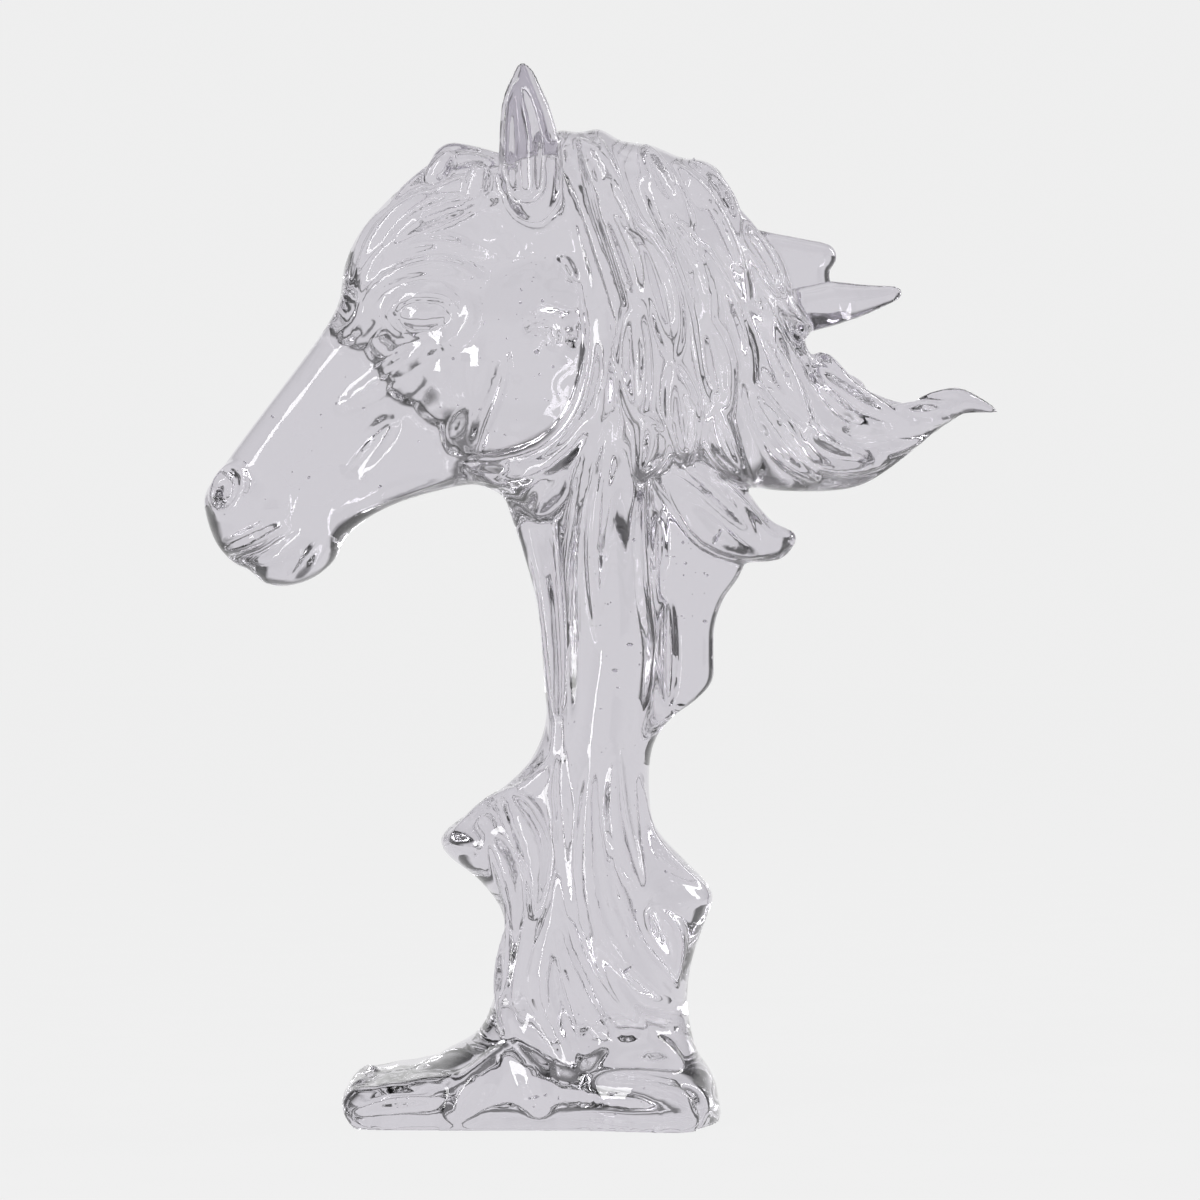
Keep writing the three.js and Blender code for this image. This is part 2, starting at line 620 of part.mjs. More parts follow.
function carveNeck(clay, skins) {
  NECK_STRANDS.forEach((points) => addRidge(clay, skins, points, share(10), share(3)));
  cutGroove(clay, skins, [[20, 590], [26, 530], [31, 470], [32, 410], [28, 380]], share(8));
  press(clay, skins, [131, 446], [share(9), share(15), share(52)], 0, share(2));
  press(clay, skins, [123, 550], [share(7), share(11), share(30)], 0, share(2));
}

function carveFoot(clay, skins) {
  const folds = { rows: 6, each: 1, overlap: 0.95, seed: 3, sink: 0.3, blunt: 0.6 };
  addLocks(clay, skins, DRAPERY_GUIDES, folds);
  const arch = [[-66, 24], [-46, 52], [-20, 68], [2, 58], [10, 30]];
  addRidge(clay, skins, arch, share(12), share(18), 0.45);
  addRidge(clay, skins, [[56, 58], [88, 72], [116, 76], [138, 66]], share(14), share(14), 0.45);
  press(clay, skins, [160, 36], [share(19), share(9), share(30)], 0.2, share(7));
  addRidge(clay, skins, [[-74, 273], [-40, 300], [-2, 318], [28, 351]], share(8), share(8));
  addRidge(clay, skins, [[104, 324], [114, 272], [138, 243], [165, 224]], share(8), share(8));
  addRidge(clay, skins, [[-169, 40], [-131, 52], [-89, 58]], share(7), share(4));
  addRidge(clay, skins, [[-159, 25], [-123, 35], [-85, 36]], share(6), share(4));
}

function carveHair(clay, skins) {
  const [near, far] = skins;
  addLocks(clay, [near], MANE_GUIDES, { rows: 7, each: 3, overlap: 1.1, seed: 11, sink: 0 });
  addLocks(clay, [far], MANE_GUIDES, { rows: 5, each: 2, overlap: 1.1, seed: 4, sink: 0.4 });
  addLocks(clay, skins, LOW_LOCK_GUIDES, { rows: 3, each: 1, overlap: 1, seed: 2 });
  addLocks(clay, skins, FORELOCK_GUIDES, { rows: 3, each: 2, overlap: 1.2, seed: 5 });
  FLICK_STRANDS.forEach((points) => addRidge(clay, skins, points, share(8), share(2)));
  const hair = SIDES.map((side) => new Skin(clay, side));
  for (const [centre, radii, tilt] of CURLS) {
    const aside = hair[0].at(...centre.map(share)) - share(5);
    const size = [share(radii[0] + 3), share(12), share(radii[1] + 3)];
    clay.add(lump(centre, aside, size, tilt), share(2));
    cutRing(clay, hair, centre, radii, tilt);
  }
}

// Whether the marked corners of a cell hang together along its edges.
function joinedUp(corners) {
  const start = corners & -corners;
  let found = start;
  for (let pass = 0; pass < 7; pass += 1) {
    for (let n = 0; n < 8; n += 1) {
      if (!(found & (1 << n))) continue;
      for (const step of [1, 2, 4]) found |= corners & (1 << (n ^ step));
    }
  }
  return found === corners;
}

const MIXED = Array.from({ length: 256 }, (_, mask) => mask > 0 && mask < 255);
const CLEAR = MIXED.map((mixed, mask) => !mixed || (joinedUp(mask) && joinedUp(255 - mask)));
const CORNER_PAIRS = [];
for (let a = 0; a < 8; a += 1) {
  for (const step of [1, 2, 4]) if (!(a & step)) CORNER_PAIRS.push([a, a | step]);
}
const FACES = [1, 2, 4].flatMap((axis) => {
  const [u, w] = [1, 2, 4].filter((step) => step !== axis);
  return [0, axis].map((side) => [side, side | u, side | u | w, side | w]);
});

// Walks the cells of the clay with the places of their eight corners.
function eachCell(clay, visit) {
  const [nx, ny, nz] = clay.count;
  const [sx, sy, sz] = clay.strides;
  const offsets = Array.from({ length: 8 }, (_, n) =>
    (n & 1 ? sx : 0) + (n & 2 ? sy : 0) + (n & 4 ? sz : 0));
  for (let i = 0; i < nx - 1; i += 1) {
    for (let j = 0; j < ny - 1; j += 1) {
      for (let k = 0; k < nz - 1; k += 1) {
        const cell = i * sx + j * sy + k;
        let mask = 0;
        for (let n = 0; n < 8; n += 1) if (clay.values[cell + offsets[n]] < 0) mask |= 1 << n;
        if (MIXED[mask]) visit(cell, mask, offsets, [i, j, k]);
      }
    }
  }
}

// Keeps the one lump that holds the seed, and fills any pocket that doesn't reach the air.
function keepOneLump(clay, seed) {
  const { values, strides } = clay;
  const spread = (from, wanted) => {
    const seen = new Uint8Array(values.length);
    const queue = [from];
    seen[from] = 1;
    while (queue.length) {
      const cell = queue.pop();
      for (const stride of strides) {
        for (const next of [cell - stride, cell + stride]) {
          if (next < 0 || next >= values.length || seen[next] || !wanted(values[next])) continue;
          seen[next] = 1;
          queue.push(next);
        }
      }
    }
    return seen;
  };
  const solid = spread(seed, (v) => v < 0);
  for (let cell = 0; cell < values.length; cell += 1) {
    if (values[cell] < 0 && !solid[cell]) values[cell] = clay.cell;
  }
  const air = spread(0, (v) => v >= 0);
  for (let cell = 0; cell < values.length; cell += 1) {
    if (values[cell] >= 0 && !air[cell]) values[cell] = -clay.cell;
  }
}

// Where the surface would touch itself inside a cell, closes the gap by one grid point.
function openPinches(clay) {
  const { values } = clay;
  for (let pass = 0; pass < 20; pass += 1) {
    let mended = 0;
    eachCell(clay, (cell, mask, offsets) => {
      const crossed = FACES.find((face) => {
        const [a, b, c, d] = face.map((n) => (mask >> n) & 1);
        return a === c && b === d && a !== b;
      });
      if (!crossed && CLEAR[mask]) return;
      const outside = [0, 1, 2, 3, 4, 5, 6, 7].filter((n) => !((mask >> n) & 1));
      const pick = (crossed || outside).filter((n) => !((mask >> n) & 1));
      const least = pick.reduce((a, b) =>
        (values[cell + offsets[a]] < values[cell + offsets[b]] ? a : b));
      values[cell + offsets[least]] = -0.05 * clay.cell;
      mended += 1;
    });
    if (!mended) return;
  }
}

// The clay's zero surface, with one point in each cell that it crosses.
function surfaceOf(clay) {
  const { values, strides } = clay;
  const points = [];
  const pointOf = new Int32Array(values.length).fill(-1);
  const cells = [];
  eachCell(clay, (cell, mask, offsets, place) => {
    const sum = [0, 0, 0];
    let crossings = 0;
    for (const [a, b] of CORNER_PAIRS) {
      if (((mask >> a) & 1) === ((mask >> b) & 1)) continue;
      const va = values[cell + offsets[a]];
      const vb = values[cell + offsets[b]];
      const along = va / (va - vb);
      for (let axis = 0; axis < 3; axis += 1) {
        const atA = (a >> axis) & 1;
        const atB = (b >> axis) & 1;
        sum[axis] += lerp(atA, atB, along);
      }
      crossings += 1;
    }
    pointOf[cell] = points.length;
    points.push(new THREE.Vector3(...place.map((at, axis) =>
      clay.at(axis, at + sum[axis] / crossings))));
    cells.push([cell, mask]);
  });
  const faces = [];
  for (const [cell, mask] of cells) {
    for (let axis = 0; axis < 3; axis += 1) {
      const low = mask & 1;
      const high = (mask >> (1 << axis)) & 1;
      if (low === high) continue;
      const su = strides[(axis + 1) % 3];
      const sw = strides[(axis + 2) % 3];
      const quad = [cell, cell - su, cell - su - sw, cell - sw].map((c) => pointOf[c]);
      if (!low) quad.reverse();
      const [a, b, c, d] = quad;
      const shorter = points[a].distanceTo(points[c]) < points[b].distanceTo(points[d]);
      faces.push(...(shorter ? [[a, b, c], [a, c, d]] : [[a, b, d], [b, c, d]]));
    }
  }
  return { points, faces };
}

// The sum of squared distances to a set of planes, as ten numbers.
function addPlane(sum, n, d, weight) {
  const row = [n.x, n.y, n.z, d];
  let at = 0;
  for (let i = 0; i < 4; i += 1) {
    for (let j = i; j < 4; j += 1) {
      sum[at] += weight * row[i] * row[j];
      at += 1;
    }
  }
}

function planeError(q, p) {
  return q[0] * p.x * p.x + 2 * q[1] * p.x * p.y + 2 * q[2] * p.x * p.z + 2 * q[3] * p.x
    + q[4] * p.y * p.y + 2 * q[5] * p.y * p.z + 2 * q[6] * p.y
    + q[7] * p.z * p.z + 2 * q[8] * p.z + q[9];
}

// The point that lies nearest to all the planes, if there is one near the edge a-b.
function bestPoint(q, a, b) {
  const middle = a.clone().lerp(b, 0.5);
  const system = new THREE.Matrix3().set(q[0], q[1], q[2], q[1], q[4], q[5], q[2], q[5], q[7]);
  if (Math.abs(system.determinant()) > 1e-4) {
    const found = new THREE.Vector3(-q[3], -q[6], -q[8]).applyMatrix3(system.invert());
    if (found.distanceTo(middle) < a.distanceTo(b)) return found;
  }
  return middle;
}

// Collapses edges where the surface is flattest until few enough faces are left.
function simplified({ points, faces }, target) {
  const normal = new THREE.Vector3();
  const side = new THREE.Vector3();
  const faceNormal = (a, b, c) =>
    normal.subVectors(b, a).cross(side.subVectors(c, a)).clone();
  const planes = points.map(() => new Float64Array(10));
  for (const face of faces) {
    const [a, b, c] = face.map((n) => points[n]);
    const n = faceNormal(a, b, c);
    const area = n.length() / 2;
    n.normalize();
    for (const corner of face) addPlane(planes[corner], n, -n.dot(a), area);
  }
  let left = faces;
  while (left.length > target) {
    const around = points.map(() => []);
    left.forEach((face) => face.forEach((corner) => around[corner].push(face)));
    const near = (p) => new Set(around[p].flat());
    const edges = [];
    for (const [a, b, c] of left) {
      for (const [p, q] of [[a, b], [b, c], [c, a]]) {
        if (p > q) continue;
        const sum = planes[p].map((v, i) => v + planes[q][i]);
        const spot = bestPoint(sum, points[p], points[q]);
        const length = points[p].distanceToSquared(points[q]);
        edges.push({ p, q, sum, spot, cost: planeError(sum, spot) + 2e-4 * length * length });
      }
    }
    edges.sort((a, b) => a.cost - b.cost);
    const touched = new Uint8Array(points.length);
    const gone = new Set();
    const most = Math.max((left.length - target) / 2, 1);
    let done = 0;
    for (const { p, q, sum, spot } of edges.slice(0, Math.ceil(edges.length / 3))) {
      if (done >= most) break;
      if (touched[p] || touched[q]) continue;
      const [ringP, ringQ] = [near(p), near(q)];
      const shared = [...ringP].filter((n) => ringQ.has(n) && n !== p && n !== q);
      if (shared.length !== 2 || shared.some((n) => around[n].length < 4)) continue;
      const flips = (end) => around[end].some((face) => {
        if (face.includes(p) && face.includes(q)) return false;
        const old = face.map((n) => points[n]);
        const moved = face.map((n) => (n === end ? spot : points[n]));
        const before = faceNormal(...old);
        const after = faceNormal(...moved);
        return after.dot(before) < 0.3 * before.length() * after.length() || after.length() < 1e-3;
      });
      if (flips(p) || flips(q)) continue;
      points[p] = spot;
      planes[p] = sum;
      gone.add(q);
      for (const n of [...ringP, ...ringQ]) touched[n] = 1;
      for (const face of around[q]) face[face.indexOf(q)] = p;
      done += 1;
    }
    if (!done) break;
    left = left.filter(([a, b, c]) => a !== b && b !== c && c !== a);
  }
  return { points, faces: left };
}

function geometryOf({ points, faces }) {
  const place = new Map();
  const positions = [];
  const index = faces.flat().map((corner) => {
    if (!place.has(corner)) {
      place.set(corner, place.size);
      positions.push(...points[corner].toArray());
    }
    return place.get(corner);
  });
  return new THREE.BufferGeometry()
    .setAttribute("position", new THREE.Float32BufferAttribute(positions, 3))
    .setIndex(index);
}

const wasm = await Module();
wasm.setup();

function solidOf(geometry) {
  return new wasm.Manifold(new wasm.Mesh({
    numProp: 3,
    vertProperties: geometry.attributes.position.array,
    triVerts: new Uint32Array(geometry.index.array),
  }));
}

// Cuts off everything below the flat underside, and stands the casting on it at z = 0.
function groundFlat(geometry) {
  const deep = share(100);
  const block = new THREE.BoxGeometry(3 * HEIGHT, 3 * HEIGHT, deep);
  block.deleteAttribute("normal").deleteAttribute("uv").translate(0, 0, share(SOLE) - deep / 2);
  const whole = solidOf(geometry);
  const mesh = whole.subtract(solidOf(mergeCorners(block))).getMesh();
  return new THREE.BufferGeometry()
    .setAttribute("position", new THREE.BufferAttribute(mesh.vertProperties, 3))
    .setIndex(new THREE.BufferAttribute(mesh.triVerts, 1))
    .translate(0, 0, -share(SOLE));
}

function mergeCorners(geometry) {
  const { array, count } = geometry.attributes.position;
  const faces = [];
  const points = [];
  const known = new Map();
  const id = (n) => {
    const key = [0, 1, 2].map((axis) => array[3 * n + axis].toFixed(4)).join();
    if (!known.has(key)) {
      known.set(key, points.length);
      points.push(new THREE.Vector3().fromArray(array, 3 * n));
    }
    return known.get(key);
  };
  const corners = Array.from({ length: count }, (_, n) => id(n));
  const { array: index } = geometry.index;
  for (let i = 0; i < index.length; i += 3) {
    faces.push([corners[index[i]], corners[index[i + 1]], corners[index[i + 2]]]);
  }
  return geometryOf({ points, faces });
}

function castHorse() {
  const drawn = [...Object.values(OUTLINES).flat(), ...EAR_STEM];
  const [left, right] = [Math.min, Math.max].map((end) => end(...drawn.map(([x]) => x)));
  const [bottom, top] = [Math.min, Math.max].map((end) => end(...drawn.map(([, z]) => z)));
  const low = [share(left - 20), -WIDEST, share(bottom - 20)];
  const high = [share(right + 20), WIDEST, share(top + 20)];
  const clay = new Clay(low, high, CELL);
  addTorso(clay);
  addFoot(clay);
  addMane(clay);
  addHead(clay);
  const skins = SIDES.map((side) => new Skin(clay, side));
  carveFoot(clay, skins);
  carveNeck(clay, skins);
  carveFace(clay, skins);
  carveHair(clay, skins);
  addEars(clay);
  clay.soften();
  const middle = [share(70), 0, share(300)].map((v, axis) => Math.round((v - low[axis]) / CELL));
  keepOneLump(clay, middle.reduce((sum, at, axis) => sum + at * clay.strides[axis], 0));
  openPinches(clay);
  return groundFlat(geometryOf(simplified(surfaceOf(clay), TRIANGLES)));
}

const resin = new THREE.MeshStandardMaterial({
  color: 0xe4e2e8, roughness: 0.03, metalness: 0, transparent: true, opacity: 0.45,
});
const casting = new THREE.Mesh(castHorse(), resin);
casting.name = "horse_head_casting";

const sculpture = new THREE.Group();
sculpture.add(casting);

export default sculpture;
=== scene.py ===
"""A horse's head cast in clear resin, on a wide light table.

The casting is worked in a grid of distances, as a sculptor works clay: slabs, lumps and bars
are blended together, locks and folds are laid on the skin, and grooves are cut into it. Then
the surface is meshed. Shapes are in thousandths of the horse's height until they are meshed.
"""

import math

import bmesh
import bpy
import numpy as np
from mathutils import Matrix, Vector


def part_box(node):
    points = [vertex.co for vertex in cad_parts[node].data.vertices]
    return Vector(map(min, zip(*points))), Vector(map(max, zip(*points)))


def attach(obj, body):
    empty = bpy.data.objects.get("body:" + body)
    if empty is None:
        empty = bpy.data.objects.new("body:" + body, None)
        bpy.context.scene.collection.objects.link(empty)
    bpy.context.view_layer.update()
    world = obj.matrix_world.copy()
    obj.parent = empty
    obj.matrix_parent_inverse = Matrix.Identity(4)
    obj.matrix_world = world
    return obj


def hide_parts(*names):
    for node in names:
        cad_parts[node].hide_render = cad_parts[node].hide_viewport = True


NODE = "horse_head_casting"

METRE = 0.0003  # a thousandth of the horse's height, in metres
SOLE = 6  # height of the underside in the drawing
TIP_LENGTH = 0.012  # the end of a tip that is drawn in to stay in the part's box, in metres
CELL = 2.9  # edge of one cell of the grid
RELAX_ROUNDS = 9  # how often the grid's ripple is evened out
TRIANGLES = 185000  # how many are left in the casting's surface
FAR = 1e4  # a distance that is larger than any in the grid

HEAD_HALF = 58  # half thickness of the skull between the eyes
CHEEK_HALF = 87  # half width over the jaw muscles
NECK_HALF = 57  # half thickness of the neck column
NECK_RADIUS = 40  # the column's radius seen from the side
WEB_HALF = 22  # half thickness of the webs before and behind the column
MANE_HALF = 67  # half thickness of the mane over the neck
FOOT_HALF = 140  # half depth of the foot
FOOT_THICKNESS = 43  # height of the foot's toe
EDGE_HALF = 13  # half thickness at which the carving reaches its full depth
EDGE_LEAST = 1.7  # half thickness below which nothing is laid on the skin
EAR_SPREAD = 38  # middle plane to the middle of an ear's tip
EAR_LEAN = 18  # how much further out the middle of its base is
EAR_THIN = 0.55  # an ear's thickness as a share of its width, and its scoop's width likewise
LOCK_RADIUS = 13.3  # a full lock of the mane
LAID_STEPS = 12  # straight stretches in a bar that is laid on the skin

# The grid's lowest and highest corner, a margin out of the drawing.
GRID_BOX = (-330, -1.2 * FOOT_HALF, -34), (470, 1.2 * FOOT_HALF, 1016)

HEAD = [
    (28, 910), (-47, 901), (-114, 884), (-151, 851), (-172, 815), (-180, 779), (-202, 739),
    (-245, 681), (-288, 624), (-309, 592), (-299, 561), (-281, 532), (-267, 524), (-248, 510),
    (-218, 512), (-188, 533), (-171, 559), (-137, 582), (-85, 599), (-49, 604), (-19, 590),
    (9, 571), (57, 618), (78, 722), (66, 836),
]
TORSO = [
    (28, 665), (-9, 618), (-21, 590), (-10, 552), (7, 490), (13, 419), (15, 380), (-2, 340),
    (-43, 304), (-84, 271), (-80, 256), (-47, 229), (-25, 196), (-28, 154), (-35, 116),
    (-49, 87), (-85, 59), (-95, -14), (175, -14), (168, 42), (155, 78), (149, 116),
    (154, 156), (166, 191), (173, 217), (147, 248), (128, 268), (114, 287), (107, 319),
    (110, 345), (119, 364), (135, 384), (158, 401), (173, 419), (174, 443), (175, 471),
    (184, 497), (201, 523), (206, 571), (180, 647),
]
MANE = [
    (14, 921), (24, 939), (47, 938), (66, 941), (87, 930), (114, 926), (144, 914), (165, 911),
    (182, 899), (190, 870), (206, 848), (232, 825), (246, 789), (253, 752), (263, 721),
    (296, 712), (315, 702), (326, 681), (338, 673), (356, 677), (371, 688), (403, 697),
    (430, 689), (458, 672), (429, 672), (407, 670), (383, 654), (360, 634), (319, 606),
    (292, 599), (215, 601),
    (161, 618), (104, 609), (57, 590), (33, 609), (59, 665), (66, 732), (43, 808), (24, 874),
]
LOW_LOCK = [
    (114, 637), (161, 640), (201, 604), (228, 571), (253, 556), (240, 535), (218, 531),
    (197, 532), (161, 547), (131, 585), (114, 609),
]
FLAT_LOCK = [
    (190, 860), (214, 849), (262, 839), (288, 832), (292, 819), (285, 808), (286, 791),
    (262, 775), (228, 770), (190, 803),
]
FORELOCK = [
    (-19, 912), (-52, 925), (-78, 928), (-91, 918), (-99, 898), (-122, 884), (-142, 864),
    (-159, 844), (-171, 819), (-175, 789), (-169, 762), (-142, 789), (-104, 836), (-57, 865),
    (-14, 874),
]

# Guides that the hair follows, from the one nearest the face to the one nearest the crest.
MANE_GUIDES = [
    [(36, 925), (54, 866), (76, 803), (88, 751), (90, 694), (84, 645), (78, 600)],
    [(56, 934), (82, 866), (108, 800), (122, 738), (126, 688), (128, 650), (128, 612)],
    [(80, 932), (112, 866), (142, 800), (159, 738), (167, 688), (180, 645), (198, 606)],
    [(107, 925), (140, 866), (170, 800), (190, 737), (208, 685), (236, 638), (272, 606)],
    [(132, 918), (166, 866), (196, 800), (219, 740), (250, 684), (296, 640), (352, 632)],
    [(160, 905), (190, 855), (217, 800), (245, 748), (284, 698), (344, 664), (424, 672)],
    [
        (178, 888), (204, 838), (229, 798), (253, 750), (290, 694), (336, 667), (380, 672),
        (436, 676),
    ],
]
CURL_GUIDES = [
    [(112, 618), (134, 590), (165, 556), (204, 538), (240, 540)],
    [(126, 630), (160, 604), (192, 574), (222, 550), (250, 548)],
    [(150, 634), (184, 608), (212, 580), (232, 560), (252, 554)],
]
FORELOCK_GUIDES = [
    [(2, 866), (-58, 856), (-108, 836), (-140, 804), (-160, 768)],
    [(-14, 890), (-66, 886), (-114, 862), (-146, 824), (-165, 780)],
    [(-24, 914), (-72, 915), (-117, 886), (-150, 846), (-171, 798)],
]
DRAPERY_GUIDES = [
    [(-72, 278), (-46, 262), (-24, 222), (-20, 165), (-36, 100)],
    [(-34, 308), (-8, 262), (0, 208), (-8, 146), (-14, 80)],
    [(8, 340), (28, 266), (24, 200), (14, 136), (32, 62)],
    [(34, 362), (38, 268), (46, 200), (66, 146), (98, 108)],
    [(66, 368), (71, 280), (84, 212), (112, 164), (138, 122)],
    [(92, 360), (102, 290), (119, 236), (135, 192), (139, 140)],
]
# Fine folds on the left side, which run down to the drapery's hem.
HEM_FOLDS = [
    [(73, 287), (76, 220), (90, 184), (112, 146), (138, 118)],
    [(50, 222), (62, 175), (84, 130), (116, 90)],
    [(23, 270), (28, 197), (45, 141), (73, 92), (98, 66)],
    [(17, 220), (14, 169), (24, 119), (36, 82), (54, 50)],
    [(-22, 190), (-26, 140), (-20, 100), (-8, 70)],
]
FLICK = [
    [(296, 694), (330, 680), (366, 684), (404, 690), (432, 682)],
    [(280, 662), (322, 654), (362, 662), (398, 678), (428, 680)],
    [(258, 640), (310, 632), (352, 642), (392, 662), (424, 674)],
]
# The forelock's curls, as (centre, radii, tilt).
CURLS = [((-50, 881), (13, 22), -0.35), ((-84, 900), (10, 20), -0.7)]
# The ear's stem, as (x, z, how far it leans out, half width).
EAR_STEM = [
    (6, 858, 1, 12), (2, 874, 1, 24), (0, 898, 0.9, 28.5), (0, 921, 0.6, 28.5),
    (-3, 948, 0.35, 24.5), (-5, 970, 0.15, 18.5), (-5, 988, 0.05, 12), (-6, 999, 0, 7.5),
]
JAW = [(44, 800), (57, 755), (54, 703), (38, 662), (11, 637), (-32, 625), (-84, 630)]
# Small hollows behind the cheek, as (centre, radii, tilt).
CHEEK_DENTS = [
    ((14, 750), (19, 10, 5), 0.2),
    ((24, 740), (6, 9, 9), 0),
    ((36, 806), (7, 10, 16), 0.5),
]

# Where the resin holds air bubbles, as ((centre, spread), how many).
BUBBLE_CLOUDS = [
    (((0, 0, 745), (60, 60, 70)), 60),
    (((-70, 0, 700), (110, 40, 90)), 40),
    (((-200, 0, 620), (80, 35, 70)), 16),
    (((75, 0, 430), (30, 35, 130)), 40),
    (((145, 0, 480), (30, 16, 80)), 24),
    (((60, 0, 140), (90, 60, 100)), 24),
    (((0, 0, 30), (150, 90, 20)), 20),
]
BUBBLE_DEPTH = 4 * CELL  # the least depth of a bubble's middle below the skin
BUBBLE_LEAST = 0.00015  # radius of the smallest bubble, in metres
BUBBLE_RANGE = 0.0005  # how much larger the largest is

RESIN_TINT = (0.71, 0.69, 0.74, 1)
RESIN_IOR = 1.49

TABLE_RADIUS = 6.0  # the light table, in metres
TABLE_DROP = 0.0002  # how far it lies below the underside, in metres
TABLE_GLOW = 0.847

# The room's grey levels, as (place, level): round from front or back to the sides, and upwards.
PANELS = [(0.42, 1), (0.52, 0.1), (0.72, 0.1), (0.86, 0.5), (0.97, 1)]
CEILING = [(0.42, 1), (0.58, 0.26), (0.8, 0.26), (0.93, 1.2)]
ROOM_GLOW = 0.86

# The lamps, as (name, place, size, power), all aimed at one place.
LAMPS = [
    ("key", (-0.85, -1.15, 1.0), (0.35, 0.9), 10),
    ("front", (-0.75, -1.1, 0.3), (0.12, 0.45), 2.2),
    ("rim", (1.3, 0.5, 1.0), (0.3, 1.0), 8),
]
LAMP_AIM = (0, 0, 0.15)

PICTURE_MIDDLE = (0.0199, 0, 0.1467)  # in the middle plane, in metres
PICTURE_WIDTH = 0.3413
CAMERA_DISTANCE = 1.3
SENSOR_WIDTH = 36


def smooth_min(a, b, blend):
    """Joins two distances with a fillet about as wide as blend."""
    near = np.maximum(blend - np.abs(a - b), 0) / blend
    return np.minimum(a, b) - near * near * blend / 4


def smooth_max(a, b, blend):
    """Keeps what lies in both distances, with an edge rounded about as wide as blend."""
    return -smooth_min(-a, -b, blend)


def ease(value, low, high):
    """Rises from 0 at low to 1 at high, slowly at both ends."""
    part = np.clip((value - low) / (high - low), 0, 1)
    return part * part * (3 - 2 * part)


def between(stations, at):
    """Reads values between stations [(at, value), ...], easing from one to the next."""
    at = np.asarray(at, float)
    found = np.full(at.shape, float(stations[0][1]))
    for (start, before), (end, value) in zip(stations, stations[1:]):
        reached = before + (value - before) * ease(at, start, end)
        found = np.where(at >= start, reached, found)
    return found


def scatter(a, b):
    """A number from 0 to 1 that looks random and is the same on every run."""
    wave = math.sin(a * 12.9898 + b * 78.233) * 43758.5453
    return wave - math.floor(wave)


def curve_points(points, count, closed=False):
    """Evenly numbered points on a centripetal Catmull-Rom curve through the given ones."""
    points = np.asarray(points, float)
    if closed:
        knots = np.vstack([points[-1], points, points[0], points[1]])
        spans = len(points)
    else:
        first = 2 * points[0] - points[1]
        last = 2 * points[-1] - points[-2]
        knots = np.vstack([first, points, last])
        spans = len(points) - 1
    made = []
    for step in np.linspace(0, spans, count + 1):
        span = min(int(step), spans - 1)
        made.append(spline_point(knots[span : span + 4], step - span))
    return np.array(made)


def spline_point(four, t):
    """A share t of the way from the second to the third of four knots."""
    gaps = np.maximum(np.linalg.norm(np.diff(four, axis=0), axis=1) ** 0.5, 1e-4)
    t0, t1, t2 = gaps
    p0, p1, p2, p3 = four
    start = ((p1 - p0) / t0 - (p2 - p0) / (t0 + t1) + (p2 - p1) / t1) * t1
    end = ((p2 - p1) / t1 - (p3 - p1) / (t1 + t2) + (p3 - p2) / t2) * t1
    square, cube = t * t, t * t * t
    return (
        (2 * cube - 3 * square + 1) * p1
        + (cube - 2 * square + t) * start
        + (3 * square - 2 * cube) * p2
        + (cube - square) * end
    )


class Curve:
    """A curve that is read by its share of the way along."""

    def __init__(self, points):
        self.points = curve_points(points, 48)

    def at(self, share):
        place = np.clip(share, 0, 1) * (len(self.points) - 1)
        low = min(int(place), len(self.points) - 2)
        return self.points[low] + (place - low) * (self.points[low + 1] - self.points[low])


class Clay:
    """A grid of distances to the surface, below zero inside it."""

    def __init__(self, low, high):
        self.low = np.array(low, float)
        self.count = np.ceil((np.array(high) - self.low) / CELL).astype(int) + 1
        self.values = np.full(self.count, FAR, np.float32)

    def window(self, low, high, reach):
        """The part of the grid near a box, with its coordinates ready to broadcast."""
        first = np.floor((np.array(low) - reach - self.low) / CELL).astype(int)
        last = np.ceil((np.array(high) + reach - self.low) / CELL).astype(int) + 1
        first = np.clip(first, 0, self.count)
        last = np.clip(last, 0, self.count)
        part = tuple(slice(a, b) for a, b in zip(first, last))
        axes = [self.low[n] + np.arange(first[n], last[n]) * CELL for n in range(3)]
        return part, np.ix_(*axes)

    def add(self, shape, blend):
        part, (x, y, z) = self.window(*shape.box, blend + 3 * CELL)
        found = shape.distance(x, y, z)
        self.values[part] = smooth_min(self.values[part], found, blend)

    def cut(self, shape, blend):
        part, (x, y, z) = self.window(*shape.box, blend + 3 * CELL)
        found = shape.distance(x, y, z)
        self.values[part] = smooth_max(self.values[part], -found, blend)

    def soften(self):
        """Rounds every crease a little by averaging each value with its neighbours."""
        for axis in range(3):
            v = np.moveaxis(self.values, axis, 0)
            v[1:-1] = (v[:-2] + 2 * v[1:-1] + v[2:]) / 4


def outline_depth(ring, u, w):
    """How far inside a closed ring each point of two broadcast coordinates lies."""
    nearest = np.full(np.broadcast(u, w).shape, FAR * FAR)
    inside = np.zeros(nearest.shape, bool)
    for a, b in zip(ring, np.roll(ring, -1, axis=0)):
        eu, ew = b - a
        long = max(eu * eu + ew * ew, 1e-9)
        along = np.clip(((u - a[0]) * eu + (w - a[1]) * ew) / long, 0, 1)
        du = u - a[0] - along * eu
        dw = w - a[1] - along * ew
        nearest = np.minimum(nearest, du * du + dw * dw)
        if a[1] != b[1]:
            crosses = ((a[1] > w) != (b[1] > w)) & (u < a[0] + eu * (w - a[1]) / ew)
            inside ^= crosses
    return np.where(inside, 1, -1) * np.sqrt(nearest)


